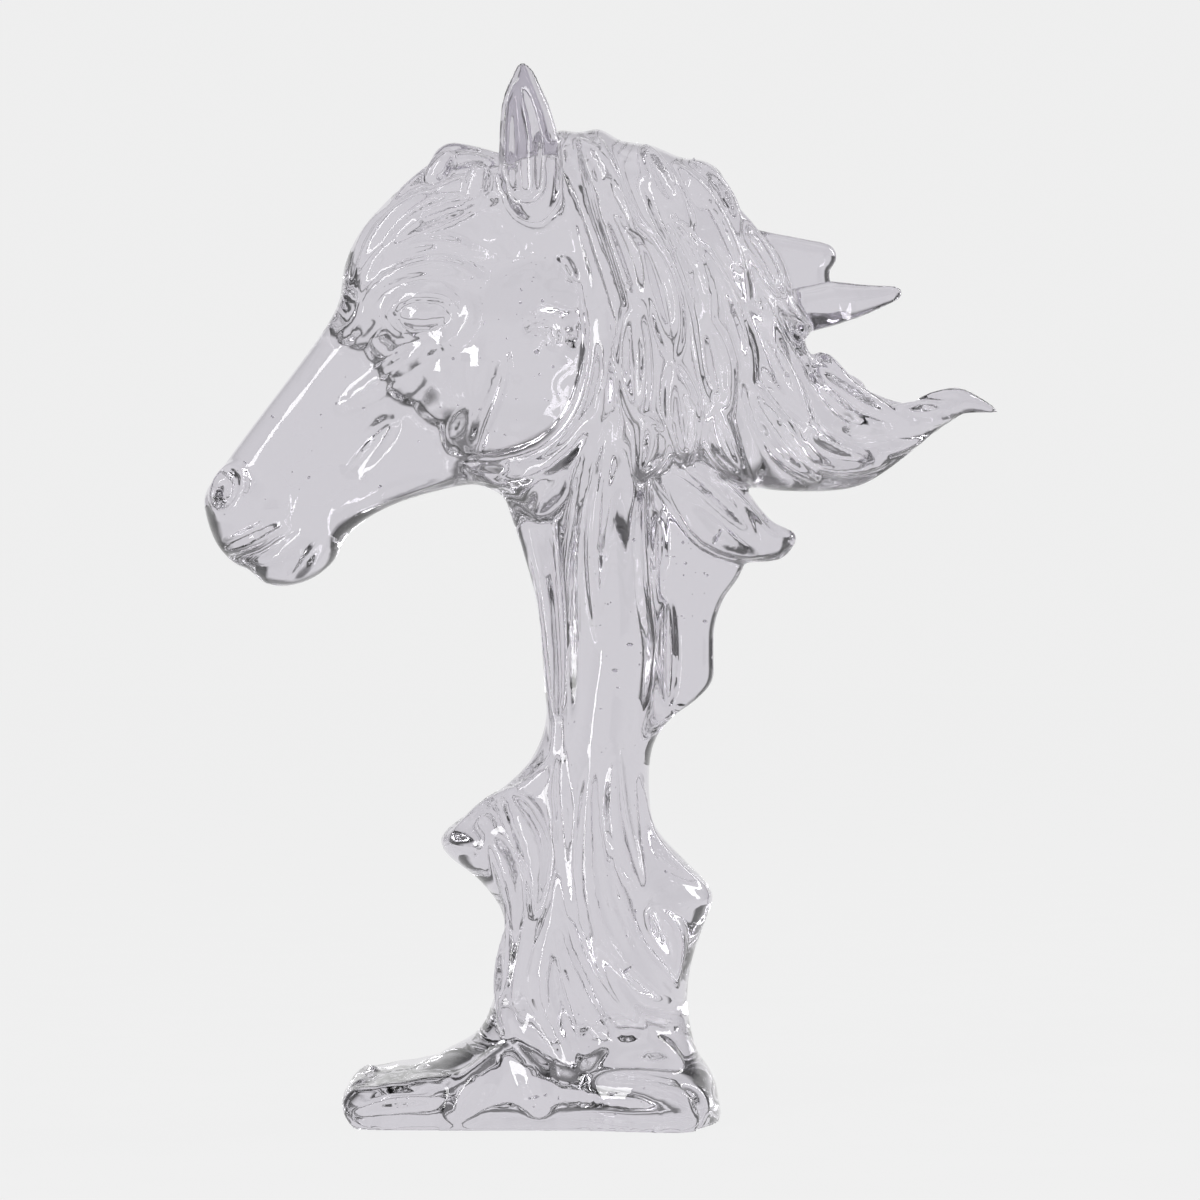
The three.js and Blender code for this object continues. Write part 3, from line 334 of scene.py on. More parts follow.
class Slab:
    """A slab of the drawn outline, half(x, z) thick to each side of y = middle, whose faces
    roll over to the edge from as far in as roll. Roll is a width, or a width by (x, z)."""

    def __init__(self, outline, half, roll, power=2.0, middle=0.0):
        self.roll = roll if callable(roll) else lambda x, z: np.full(z.shape, roll)
        self.ring = curve_points(outline, len(outline) * 4, closed=True)[:-1]
        self.half, self.power, self.middle = half, power, middle
        low, high = self.ring.min(0), self.ring.max(0)
        self.box = (low[0], -FOOT_HALF, low[1]), (high[0], FOOT_HALF, high[1])

    def distance(self, x, y, z):
        depth = outline_depth(self.ring, x[:, :, 0], z[0])[:, None, :]
        thick = np.broadcast_to(self.half(x, z), np.broadcast(x, z).shape)
        roll = self.roll(x, z)
        a = np.maximum(roll - depth, 0) / roll
        b = np.abs(y - self.middle) / thick
        n = self.power
        size = np.maximum((a**n + b**n) ** (1 / n), 1e-3)
        slope_a = (a / size) ** (n - 1) / roll
        slope_b = (b / size) ** (n - 1) / thick
        found = (size - 1) / np.maximum(np.hypot(slope_a, slope_b), 1e-6)
        return np.maximum(found, -np.minimum(roll, thick))


class Lump:
    """An ellipsoid, on both sides of the middle plane when its centre is off it."""

    def __init__(self, centre, aside, radii, tilt=0.0):
        self.centre, self.aside, self.radii, self.tilt = centre, aside, radii, tilt
        wide = max(radii[0], radii[2])
        reach = aside + radii[1]
        x, z = centre
        self.box = (x - wide, -reach, z - wide), (x + wide, reach, z + wide)

    def distance(self, x, y, z):
        cos, sin = math.cos(self.tilt), math.sin(self.tilt)
        dx = (x - self.centre[0]) * cos + (z - self.centre[1]) * sin
        dz = (z - self.centre[1]) * cos - (x - self.centre[0]) * sin
        dy = np.abs(y) - self.aside
        rx, ry, rz = self.radii
        scaled = np.sqrt((dx / rx) ** 2 + (dy / ry) ** 2 + (dz / rz) ** 2)
        slope = np.sqrt((dx / rx**2) ** 2 + (dy / ry**2) ** 2 + (dz / rz**2) ** 2)
        return scaled * (scaled - 1) / np.maximum(slope, 1e-6)


class Bar:
    """A round bar through points, with a radius at each; flat stretches its section along Y."""

    def __init__(self, points, radii, flat=1.0, mirrored=False):
        self.points = np.asarray(points, float)
        self.radii = np.asarray(radii, float)
        self.flat, self.mirrored = flat, mirrored
        wide = self.radii.max() * max(flat, 1)
        low, high = self.points.min(0) - wide, self.points.max(0) + wide
        if mirrored:
            low[1] = -high[1]
        self.box = low, high

    def distance(self, x, y, z):
        nearest = np.full(np.broadcast(x, y, z).shape, FAR)
        xs, zs = x[:, 0, 0], z[0, 0]
        side = np.abs(y) if self.mirrored else y
        reach = self.radii.max() + 6 * CELL
        for a, b, ra, rb in zip(self.points, self.points[1:], self.radii, self.radii[1:]):
            i0, i1 = np.searchsorted(xs, [min(a[0], b[0]) - reach, max(a[0], b[0]) + reach])
            k0, k1 = np.searchsorted(zs, [min(a[2], b[2]) - reach, max(a[2], b[2]) + reach])
            ex, ey, ez = b[0] - a[0], (b[1] - a[1]) / self.flat, b[2] - a[2]
            long = max(ex * ex + ey * ey + ez * ez, 1e-9)
            px = x[i0:i1] - a[0]
            py = (side - a[1]) / self.flat
            pz = z[:, :, k0:k1] - a[2]
            along = np.clip((px * ex + py * ey + pz * ez) / long, 0, 1)
            gap = np.sqrt((px - along * ex) ** 2 + (py - along * ey) ** 2 + (pz - along * ez) ** 2)
            part = nearest[i0:i1, :, k0:k1]
            np.minimum(part, gap - ra - along * (rb - ra), out=part)
        return nearest


class Skin:
    """How far out of the middle plane the clay's surface stands on one side."""

    def __init__(self, clay, side):
        self.side, self.low = side, clay.low
        ys = clay.low[1] + np.arange(clay.count[1]) * CELL
        outside_in = clay.values[:, ::-1] if side > 0 else clay.values
        out = side * (ys[::-1] if side > 0 else ys)
        inside = outside_in < 0
        first = np.maximum(inside.argmax(1), 1)[:, None]
        now = np.take_along_axis(outside_in, first, 1)[:, 0]
        before = np.take_along_axis(outside_in, first - 1, 1)[:, 0]
        share = -now / np.maximum(before - now, 1e-6)
        reach = out[first[:, 0]] + CELL * np.clip(share, 0, 1)
        self.reach = np.where(inside.any(1), np.maximum(reach, 0), 0)

    def at(self, x, z):
        u = np.clip((x - self.low[0]) / CELL, 0, self.reach.shape[0] - 1.001)
        w = np.clip((z - self.low[2]) / CELL, 0, self.reach.shape[1] - 1.001)
        i, k = int(u), int(w)
        near = self.reach[i : i + 2, k : k + 2]
        lower, upper = near[0] + (u - i) * (near[1] - near[0])
        return lower + (w - k) * (upper - lower)


def laid(path, radius, skin, sink=0.25, blunt=0.6):
    """A bar laid along a path on the skin, sunk by a share of its radius, with pointed ends.
    It thins to nothing where the skin rolls over into the outline's edge."""
    points, radii = [], []
    for share in np.linspace(0, 1, LAID_STEPS + 1):
        x, z = path(share)
        out = skin.at(x, z)
        taper = max(math.sin(math.pi * share) ** blunt if 0 < share < 1 else 0, 0.1)
        full = radius(share) if callable(radius) else radius
        r = full * taper * float(ease(out, EDGE_LEAST, EDGE_HALF))
        points.append((x, skin.side * max(out - sink * r, 0), z))
        radii.append(r)
    return Bar(points, radii)


class Sheet:
    """A sheet stretched over guides: across runs from the first guide to the last, and along
    from their first points to their last."""

    def __init__(self, guides):
        rows = np.array([curve_points(guide, 60) for guide in guides])
        self.grid = np.array([curve_points(rows[:, n], 60) for n in range(rows.shape[1])])

    def at(self, across, along):
        v = np.clip(along, 0, 1) * (len(self.grid) - 1)
        u = np.clip(across, 0, 1) * (self.grid.shape[1] - 1)
        j, i = min(int(v), len(self.grid) - 2), min(int(u), self.grid.shape[1] - 2)
        near = self.grid[j : j + 2, i : i + 2]
        low, high = near[:, 0] + (u - i) * (near[:, 1] - near[:, 0])
        return low + (v - j) * (high - low)


def lock_paths(sheet, rows, each, overlap, seed):
    """Each lock's path, and the width of its row along it. Rows are staggered like scales."""
    for row in range(rows):
        across = (row + 0.5) / rows
        stagger = 0.5 if row % 2 else 0
        for n in range(-1, each):
            wobble = scatter(row + seed, n)
            start = max((n + stagger + 0.3 * wobble) / each, 0)
            end = min((n + stagger + overlap + 0.5 * wobble) / each, 1)
            if end - start < 0.4 / each:
                continue
            sway = (scatter(n + seed, row) - 0.5) * 0.8 / rows

            def path(share, start=start, end=end, sway=sway, across=across):
                drift = across + sway * math.sin(math.pi * share)
                return sheet.at(np.clip(drift, 0.01, 0.99), start + share * (end - start))

            def width(share, start=start, end=end, across=across):
                along = start + share * (end - start)
                low = sheet.at(across - 0.5 / rows, along)
                return np.linalg.norm(sheet.at(across + 0.5 / rows, along) - low)

            yield path, width


def parting(lock, side, share):
    """A groove along the top of a lock, a share of it wide and pointed at both ends."""
    line, radii = lock.points[2:-2], lock.radii[2:-2]
    taper = np.sin(np.linspace(0.12, 0.88, len(line)) * math.pi)
    return Bar(line + np.outer(radii, (0, side, 0)), share * radii * taper)


def add_locks(clay, skins, guides, rows, each, overlap, seed, sink=0.25, parted=0):
    """Locks that follow the guides on each skin, the upper ones over the lower ones. Each may
    be parted by a groove, a share of the lock wide."""
    paths = list(lock_paths(Sheet(guides), rows, each, overlap, seed))[::-1]
    for skin in skins:
        for path, width in paths:

            # A little over half its row's width, so that neighbours meet.
            def radius(share, width=width):
                return np.clip(0.56 * width(share), 0.4 * LOCK_RADIUS, 1.3 * LOCK_RADIUS)

            lock = laid(path, radius, skin, sink)
            clay.add(lock, blend=1.5)
            if parted:
                clay.cut(parting(lock, skin.side, parted), blend=1)


def add_ridge(clay, skins, points, radius, blend, sink=0.25):
    """A rounded ridge along a curve on each skin, pointed at both ends."""
    curve = Curve(points)
    for skin in skins:
        clay.add(laid(curve.at, radius, skin, sink), blend)


def cut_groove(clay, skins, points, radius):
    """A groove along a curve on each skin, with blunter ends than a ridge."""
    curve = Curve(points)
    for skin in skins:
        clay.cut(laid(curve.at, radius, skin, sink=0, blunt=0.4), blend=2)


def oval(skin, centre, radii, tilt, radius, sink=0.0):
    """A closed round bar along an ellipse on the skin, sunk by a share of its radius."""
    points = []
    for turn in np.linspace(0, 2 * math.pi, 33):
        u, w = radii[0] * math.cos(turn), radii[1] * math.sin(turn)
        x = centre[0] + u * math.cos(tilt) - w * math.sin(tilt)
        z = centre[1] + u * math.sin(tilt) + w * math.cos(tilt)
        points.append((x, skin.side * (skin.at(x, z) - sink * radius), z))
    return Bar(points, [radius] * len(points))


def add_ring(clay, skins, centre, radii, tilt, radius, blend):
    """An oval ridge on the skin round a centre, such as an eyelid or a nostril's rim."""
    for skin in skins:
        clay.add(oval(skin, centre, radii, tilt, radius, sink=0.3), blend)


def cut_ring(clay, skins, centre, radii, tilt, radius):
    """A fine oval groove on the skin."""
    for skin in skins:
        clay.cut(oval(skin, centre, radii, tilt, radius), blend=1)


def press(clay, skin, centre, radii, tilt, blend):
    """A hollow on both sides: an ellipsoid whose middle lies as far out as the given skin."""
    clay.cut(Lump(centre, skin.at(*centre), radii, tilt), blend)


def add_torso(clay):
    """The draped lower body, the thin webs, and the round neck column between them."""
    halves = [
        (0, 0.8 * FOOT_HALF), (60, 0.68 * FOOT_HALF), (120, 0.58 * FOOT_HALF),
        (200, 0.52 * FOOT_HALF), (280, NECK_HALF), (340, 0.7 * NECK_HALF), (400, WEB_HALF),
        (560, WEB_HALF), (660, 0.6 * NECK_HALF),
    ]

    def roll(x, z):
        return between([(300, 46), (360, 13), (580, 13), (640, 46)], z)

    clay.add(Slab(TORSO, lambda x, z: between(halves, z), roll, power=2.2), blend=4)
    middle = [
        (72, 0, 690), (72, 0, 590), (76, 0, 523), (78, 0, 457), (70, 0, 391), (64, 0, 324),
        (61, 0, 258), (55, 0, 182),
    ]
    line = curve_points(middle, 24)
    swell = [(180, 1.5), (300, 1.2), (420, 1), (600, 1), (690, 1.25)]
    radii = NECK_RADIUS * between(swell, line[:, 2])
    clay.add(Bar(line, radii, flat=NECK_HALF / NECK_RADIUS), blend=14)


class Foot:
    """A low slab of rounded, slightly waisted plan, highest near its middle."""

    PLAN = [
        (-177, 0), (-176, 0.45), (-170, 0.72), (-148, 0.83), (-75, 0.86), (-10, 0.84), (50, 0.86),
        (100, 0.97), (142, 1), (161, 0.86), (168, 0.55), (169, 0),
    ]
    HEIGHTS = [
        (-178, 0.98), (-150, 1.04), (-122, 1.15), (-90, 1.26), (-20, 1.4), (90, 1.3), (172, 1),
    ]
    BOTTOM = [(-178, 34), (-173, 17), (-162, 6), (-144, 1), (146, 1), (170, 20)]

    def __init__(self):
        near = curve_points([(x, y * FOOT_HALF) for x, y in self.PLAN], 48)
        self.ring = np.vstack([near, near[-2:0:-1] * (1, -1)])
        self.box = (-178, -FOOT_HALF, 0), (172, FOOT_HALF, 1.5 * FOOT_THICKNESS)

    def distance(self, x, y, z):
        edge = -outline_depth(self.ring, x[:, :, 0], y[0, :, 0])[:, :, None]
        top = between(self.HEIGHTS, x) * FOOT_THICKNESS
        bottom = between(self.BOTTOM, x)
        topped = smooth_max(edge, z - top, blend=22)
        return smooth_max(topped, bottom - z, blend=6)


def add_head(clay):
    """The skull, with lumps for jaw muscle, brow, muzzle and chin, and the bridge of the nose."""
    poll, nose = np.array([10, 846]), np.array([-280, 561])
    length = np.linalg.norm(nose - poll)
    axis = (nose - poll) / length
    # Half widths as shares of HEAD_HALF, from poll to nose.
    widths = [
        (0, 1), (0.22, 1.18), (0.41, 1.12), (0.52, 0.76), (0.7, 0.7), (0.86, 0.8), (1, 0.74),
    ]

    def half(x, z):
        at = ((x - poll[0]) * axis[0] + (z - poll[1]) * axis[1]) / length
        aside = (x - poll[0]) * axis[1] - (z - poll[1]) * axis[0]
        # The step from the cheek down to the nose runs unevenly across the face.
        at = at + 0.012 * np.sin(aside / 13) + 0.008 * np.sin(aside / 5.7 + 1)
        return HEAD_HALF * between(widths, at)

    clay.add(Slab(HEAD, half, roll=34, power=2.2), blend=10)
    cheek = CHEEK_HALF / 2
    jaw_muscle = Lump((-8, 722), 0.7 * cheek, (84, 1.3 * cheek, 80))
    clay.add(jaw_muscle, blend=26)
    brow_bone = Lump((-92, 780), 0.92 * cheek, (56, 0.8 * cheek, 34), tilt=0.1)
    clay.add(brow_bone, blend=18)
    muzzle = Lump((-262, 578), 0, (38, 0.95 * HEAD_HALF, 44), tilt=-0.5)
    clay.add(muzzle, blend=14)
    chin = Lump((-220, 535), 0, (38, 0.62 * HEAD_HALF, 22), tilt=0.35)
    clay.add(chin, blend=6)
    bridge = [(-140, 0, 812), (-159, 0, 760), (-196, 0, 710), (-234, 0, 660), (-266, 0, 616)]
    line = curve_points(bridge, 12)
    clay.add(Bar(line, [20] * len(line), flat=1.75), blend=8)


def add_mane(clay):
    """The mane with its low lock, the flat lock and the spike behind it, and the forelock."""
    thin = [(20, 1), (150, 1.08), (240, 0.72), (320, 0.44), (380, 0.3), (415, 0.25), (450, 0.15)]
    clay.add(Slab(MANE, lambda x, z: MANE_HALF * between(thin, x), roll=46), blend=8)
    low_thin = [(110, 0.85), (250, 0.3)]
    low_lock = Slab(LOW_LOCK, lambda x, z: MANE_HALF * between(low_thin, x), roll=26)
    clay.add(low_lock, blend=5)
    flat = Slab(FLAT_LOCK, lambda x, z: 0.24 * MANE_HALF, roll=16, middle=0.35 * MANE_HALF)
    clay.add(flat, blend=6)
    aside = -0.5 * MANE_HALF
    spike = [(210, 762), (250, 766), (284, 774), (303, 776), (322, 779), (341, 783), (347, 784)]
    line = curve_points([(x, aside, z) for x, z in spike], 12)
    thickness = [(210, 24), (284, 21), (303, 17), (322, 12.5), (341, 8), (347, 5)]
    clay.add(Bar(line, between(thickness, line[:, 0])), blend=5)
    clay.add(Slab(FORELOCK, lambda x, z: 0.62 * HEAD_HALF, roll=24), blend=6)


def add_ears(clay):
    """A leaf-shaped ear on each side, scooped out towards the front and outside."""
    stem = [(x, EAR_SPREAD + out * EAR_LEAN, z, half) for x, z, out, half in EAR_STEM]
    stem = curve_points(stem, 21)
    line, widths = stem[:, :3], stem[:, 3]
    clay.add(Bar(line, widths, flat=EAR_THIN, mirrored=True), blend=3)
    bowl = slice(4, 17)
    scoop = Bar(line[bowl] + (-5, 15, 2), EAR_THIN * widths[bowl], mirrored=True)
    clay.cut(scoop, blend=3)


def carve_face(clay, skins):
    """The eye and brow, the nostril and mouth, and the creases of cheek and jaw."""
    left, right = skins
    eye, eye_tilt = (-97, 760), 0.05
    add_ring(clay, skins, eye, (31, 18), eye_tilt, radius=6, blend=4)
    eyeball = Lump(eye, left.at(*eye) - 6, (26, 13, 14), eye_tilt)
    clay.add(eyeball, blend=1)
    cut_ring(clay, skins, eye, (26, 13.5), eye_tilt, radius=2.4)
    brow = [(-158, 770), (-140, 789), (-112, 803), (-78, 808), (-42, 792)]
    add_ridge(clay, skins, brow, radius=9, blend=4)
    upper_brow = [(-150, 796), (-120, 820), (-84, 828), (-40, 818)]
    add_ridge(clay, skins, upper_brow, radius=7, blend=5)
    lid_crease = [(-146, 778), (-120, 790), (-88, 794), (-56, 784)]
    cut_groove(clay, skins, lid_crease, radius=4)
    under_eye = [(-58, 778), (-54, 758), (-66, 740), (-92, 728)]
    add_ridge(clay, skins, under_eye, radius=9, blend=5)
    cheekbone = [(-84, 738), (-129, 709), (-176, 678)]
    add_ridge(clay, skins, cheekbone, radius=10, blend=8)

    nostril, nostril_tilt = (-283, 599), -0.35
    add_ring(clay, skins, nostril, (14, 22), nostril_tilt, radius=5, blend=3)
    press(clay, left, nostril, (11, 14, 18), nostril_tilt, blend=3)
    mouth = [(-292, 531), (-275, 533), (-254, 539), (-237, 550), (-214, 566)]
    cut_groove(clay, skins, mouth, radius=7)
    lip_line = [(-292, 545), (-262, 557), (-236, 572)]
    cut_groove(clay, skins, lip_line, radius=5)
    cheek_crease = [(-20, 730), (-30, 689), (-44, 655), (-50, 632)]
    cut_groove(clay, skins, cheek_crease, radius=9)
    chin_crease = [(-196, 552), (-210, 530), (-222, 514)]
    cut_groove(clay, skins, chin_crease, radius=5)
    cheek_hollow = (-150, 640)
    press(clay, left, cheek_hollow, (34, 8, 12), tilt=0.85, blend=8)
    for centre, radii, tilt in CHEEK_DENTS:
        press(clay, right, centre, radii, tilt, blend=2)

    jaw_edge = [(-172, 574), (-140, 592), (-106, 604), (-70, 612)]
    add_ridge(clay, skins, jaw_edge, radius=8, blend=3)
    jaw_corner = [(-60, 618), (-36, 612), (-14, 598)]
    add_ridge(clay, skins, jaw_corner, radius=7, blend=3)
    cut_groove(clay, skins, JAW, radius=9)
    outside = [(x + 16, z - 4) for x, z in JAW[:4]] + [(x + 6, z - 17) for x, z in JAW[4:]]
    add_ridge(clay, skins, outside, radius=8, blend=4)


def carve_neck(clay, skins):
    """The strands down the neck, and the hollows in its back web."""
    left = skins[0]
    strands = [
        [(30, 905), (46, 850), (64, 790), (72, 730), (68, 676), (54, 625), (43, 560), (39, 480)],
        [(60, 660), (50, 600), (42, 540), (40, 470), (42, 410), (36, 357)],
        [(80, 690), (74, 640), (64, 580), (62, 520), (66, 450)],
        [(109, 637), (102, 571), (105, 495), (111, 443), (104, 381)],
        [(-2, 571), (15, 495), (24, 419), (26, 362), (14, 329)],
    ]
    for strand in strands:
        add_ridge(clay, skins, strand, radius=10, blend=3)
    column_edge = [(20, 590), (26, 530), (31, 470), (32, 410), (28, 380)]
    cut_groove(clay, skins, column_edge, radius=8)
    # The long hollow in the back web with a fine ring round it, and the short one above.
    press(clay, left, (131, 446), (9, 15, 52), tilt=0, blend=2)
    cut_ring(clay, skins, (126, 442), (10, 54), tilt=-0.08, radius=2.6)
    press(clay, left, (123, 550), (7, 11, 30), tilt=0, blend=2)


def carve_foot(clay, skins):
    """The drapery's folds, the lobes that it ends in on the foot, and the toe's ridges."""
    left = skins[0]
    add_locks(clay, skins, DRAPERY_GUIDES, rows=6, each=1, overlap=0.95, seed=3, sink=0.3)
    for fold in HEM_FOLDS:
        add_ridge(clay, [left], fold, radius=9, blend=3)
    front_lobe = [(-66, 24), (-46, 52), (-20, 68), (2, 58), (10, 30)]
    add_ridge(clay, skins, front_lobe, radius=12, blend=18, sink=0.45)
    back_lobe = [(56, 58), (88, 72), (116, 76), (138, 66)]
    add_ridge(clay, skins, back_lobe, radius=14, blend=14, sink=0.45)
    heel_dent = (160, 36)
    press(clay, left, heel_dent, (19, 9, 30), tilt=0.2, blend=7)
    front_hem = [(-74, 273), (-40, 300), (-2, 318), (28, 351)]
    add_ridge(clay, skins, front_hem, radius=8, blend=8)
    back_hem = [(104, 324), (114, 272), (138, 243), (165, 224)]
    add_ridge(clay, skins, back_hem, radius=8, blend=8)
    toe_ridge = [(-169, 40), (-131, 52), (-89, 58)]
    add_ridge(clay, skins, toe_ridge, radius=7, blend=4)
    lower_toe_ridge = [(-159, 25), (-123, 35), (-85, 36)]
    add_ridge(clay, skins, lower_toe_ridge, radius=6, blend=4)


def joined_up(corners):
    """Whether a cell's marked corners, one bit each, hang together along its edges."""
    found = corners & -corners
    for _ in range(7):
        for n in range(8):
            if found >> n & 1:
                for step in (1, 2, 4):
                    found |= corners & (1 << (n ^ step))
    return found == corners


CORNERS = [(n & 1, n >> 1 & 1, n >> 2 & 1) for n in range(8)]
# For each set of corners, whether one plain sheet of surface parts it from the others.
CLEAR = np.array([m in (0, 255) or (joined_up(m) and joined_up(255 - m)) for m in range(256)])


def corner_views(values):
    """The grid as seen from each of the eight corners of its cells."""
    return [
        values[tuple(slice(c, s - 1 + c) for c, s in zip(corner, values.shape))]
        for corner in CORNERS
    ]


def cell_masks(values):
    """For each cell, the corners that lie in the clay, one bit each."""
    masks = np.zeros([s - 1 for s in values.shape], np.uint8)
    for n, view in enumerate(corner_views(values)):
        masks |= (view < 0).astype(np.uint8) << n
    return masks


def close_at_least_outside(values, cells, corners):
    """Fills, in each given cell, the listed corner that lies least outside the clay."""
    places = [cells + CORNERS[n] for n in corners]
    found = np.stack([values[tuple(p.T)] for p in places], 1)
    found[found < 0] = FAR
    pick = found.argmin(1)
    chosen = np.stack(places, 1)[np.arange(len(cells)), pick]
    values[tuple(chosen.T)] = -0.05 * CELL


def open_pinches(values):
    """Where the surface would touch itself inside a cell, closes the gap by one grid point."""
    for _ in range(20):
        masks = cell_masks(values)
        mended = 0
        for axis in (1, 2, 4):
            u, w = [step for step in (1, 2, 4) if step != axis]
            for side in (0, axis):
                ring = [side, side | u, side | u | w, side | w]
                a, b, c, d = [(masks >> n & 1).astype(bool) for n in ring]
                crossed = np.argwhere((a == c) & (b == d) & (a != b))
                if len(crossed):
                    close_at_least_outside(values, crossed, ring)
                    mended += len(crossed)
        tangled = np.argwhere(~CLEAR[masks])
        if len(tangled):
            close_at_least_outside(values, tangled, range(8))
            mended += len(tangled)
        if not mended:
            return


def surface_of(clay):
    """The clay's zero surface, as points and four-sided faces, one point in each cell."""
    values = clay.values
    masks = cell_masks(values)
    active = np.argwhere((masks > 0) & (masks < 255))
    number = np.full(masks.shape, -1)
    number[tuple(active.T)] = np.arange(len(active))
    corner_values = np.stack([v[tuple(active.T)] for v in corner_views(values)], 1)
    total = np.zeros((len(active), 3))
    crossings = np.zeros(len(active))
    for a in range(8):
        for step in (1, 2, 4):
            b = a | step
            if a & step:
                continue
            va, vb = corner_values[:, a], corner_values[:, b]
            crossed = (va < 0) != (vb < 0)
            along = np.where(crossed, va / np.where(crossed, va - vb, 1), 0)
            spot = np.array(CORNERS[a]) + along[:, None] * (
                np.array(CORNERS[b]) - np.array(CORNERS[a])
            )
            total += np.where(crossed[:, None], spot, 0)
            crossings += crossed
    points = clay.low + CELL * (active + total / crossings[:, None])
    faces = []
    for axis in range(3):
        low = masks & 1 > 0
        high = masks >> (1 << axis) & 1 > 0
        edges = np.argwhere(low != high)
        edges = edges[(edges > 0).all(1)]
        leaves = low[tuple(edges.T)]
        du, dw = np.eye(3, dtype=int)[(axis + 1) % 3], np.eye(3, dtype=int)[(axis + 2) % 3]
        around = [edges, edges - du, edges - du - dw, edges - dw]
        quads = np.stack([number[tuple(cells.T)] for cells in around], 1)
        faces.append(np.where(leaves[:, None], quads, quads[:, ::-1]))
    return points, np.vstack(faces)


def largest_piece(points, faces):
    """Keeps the piece with the most points, and drops stray ones such as a sealed pocket."""
    label = np.arange(len(points))
    edges = np.vstack([faces[:, [n, (n + 1) % 4]] for n in range(4)])
    while True:
        least = np.minimum(label[edges[:, 0]], label[edges[:, 1]])
        old = label.copy()
        np.minimum.at(label, edges[:, 0], least)
        np.minimum.at(label, edges[:, 1], least)
        label = label[label]
        if (label == old).all():
            break
    kept = label == np.bincount(label).argmax()
    number = np.cumsum(kept) - 1
    return points[kept], number[faces[kept[faces[:, 0]]]]


def relax(points, faces):
    """Evens out the grid's ripple without shrinking the form."""
    sides = np.vstack([faces[:, [n, (n + 1) % 4]] for n in range(4)])
    edges = np.unique(np.sort(sides), axis=0)
    count = np.bincount(edges.ravel(), minlength=len(points))[:, None]
    for _ in range(RELAX_ROUNDS):
        for strength in (0.5, -0.52):
            total = np.zeros_like(points)
            np.add.at(total, edges[:, 0], points[edges[:, 1]])
            np.add.at(total, edges[:, 1], points[edges[:, 0]])
            points = points + strength * (total / count - points)
    return points


def stand_flat(points):
    """Puts the underside exactly on the floor."""
    sunk = points[:, 2] - SOLE
    sunk[sunk < 0.3 * CELL] = 0
    points[:, 2] = sunk
    return points


def model_horse():
    """Works the whole horse in clay. Returns the clay, and its surface's points and faces."""
    clay = Clay(*GRID_BOX)
    add_torso(clay)
    clay.add(Foot(), blend=28)
    add_mane(clay)
    add_head(clay)
    skins = [Skin(clay, side) for side in (-1, 1)]
    left, right = skins
    carve_foot(clay, skins)
    carve_neck(clay, skins)
    carve_face(clay, skins)
    near = dict(rows=7, each=3, overlap=1.1, seed=11, sink=0, parted=0.62)
    add_locks(clay, [left], MANE_GUIDES, **near)
    add_locks(clay, [right], MANE_GUIDES, rows=5, each=2, overlap=1.1, seed=4, sink=0.4)
    add_locks(clay, skins, CURL_GUIDES, rows=3, each=1, overlap=1, seed=2)
    add_locks(clay, skins, FORELOCK_GUIDES, rows=3, each=2, overlap=1.2, seed=5)
    for strand in FLICK:
        add_ridge(clay, skins, strand, radius=8, blend=2)
    hair = [Skin(clay, side) for side in (-1, 1)]
    for centre, (wide, high), tilt in CURLS:
        curl = Lump(centre, hair[0].at(*centre) - 5, (wide + 3, 12, high + 3), tilt)
        clay.add(curl, blend=2)
        cut_ring(clay, hair, centre, (wide, high), tilt, radius=2.6)
    add_ears(clay)
    clay.soften()
    z = clay.low[2] + np.arange(clay.count[2]) * CELL
    clay.values = np.maximum(clay.values, (SOLE - z)[None, None, :]).astype(np.float32)
    open_pinches(clay.values)
    points, faces = largest_piece(*surface_of(clay))
    return clay, stand_flat(relax(points, faces)), faces


def drawn_in(points, box):
    """Draws in the last stretch of each tip, so that none reaches out of the part's box."""
    for axis, (low, high) in enumerate(zip(*box)):
        for sign, edge in ((-1, low), (1, high)):
            room = sign * edge
            out = sign * points[:, axis]
            reach = out.max()
            if reach > room:
                start = room - TIP_LENGTH
                tip = out > start
                out[tip] = start + (out[tip] - start) * TIP_LENGTH / (reach - start)
                points[:, axis] = sign * out
    return points


def thinned(made, target):
    """Merges faces where the surface is flattest until few enough triangles are left."""
    triangles = sum(len(face.vertices) - 2 for face in made.data.polygons)
    thin = made.modifiers.new("thin", "DECIMATE")
    thin.ratio = min(target / triangles, 1)
    bpy.context.view_layer.objects.active = made
    bpy.ops.object.modifier_apply(modifier="thin")


def placed(name, data):
    """Puts a new object with this mesh, lamp or camera into the scene."""
    made = bpy.data.objects.new(name, data)
    bpy.context.scene.collection.objects.link(made)
    return made


def build_casting(points, faces, box):
    mesh = bpy.data.meshes.new("resin_horse_head")
    mesh.from_pydata((points * METRE).tolist(), [], faces.tolist())
    mesh.polygons.foreach_set("use_smooth", [True] * len(mesh.polygons))
    mesh.update()
    casting = placed("resin_horse_head", mesh)
    thinned(casting, TRIANGLES)
    places = np.empty(3 * len(casting.data.vertices))
    casting.data.vertices.foreach_get("co", places)
    places = drawn_in(places.reshape(-1, 3), box)
    casting.data.vertices.foreach_set("co", places.ravel())
    casting.data.update()
    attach(casting, "root")
    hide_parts(NODE)
    return casting


def deep_places(clay, cloud, count, seed):
    """Places of a cloud that lie deep enough in the clay for a bubble."""
    centre, spread = np.array(cloud)
    chance = np.random.default_rng(seed)
    places = []
    while len(places) < count:
        place = centre + spread * chance.uniform(-1, 1, 3)
        cell = np.rint((place - clay.low) / CELL).astype(int)
        in_room = np.all(cell > 0) and np.all(cell < clay.count)
        if in_room and clay.values[tuple(cell)] < -BUBBLE_DEPTH:
            places.append(place)
    return places


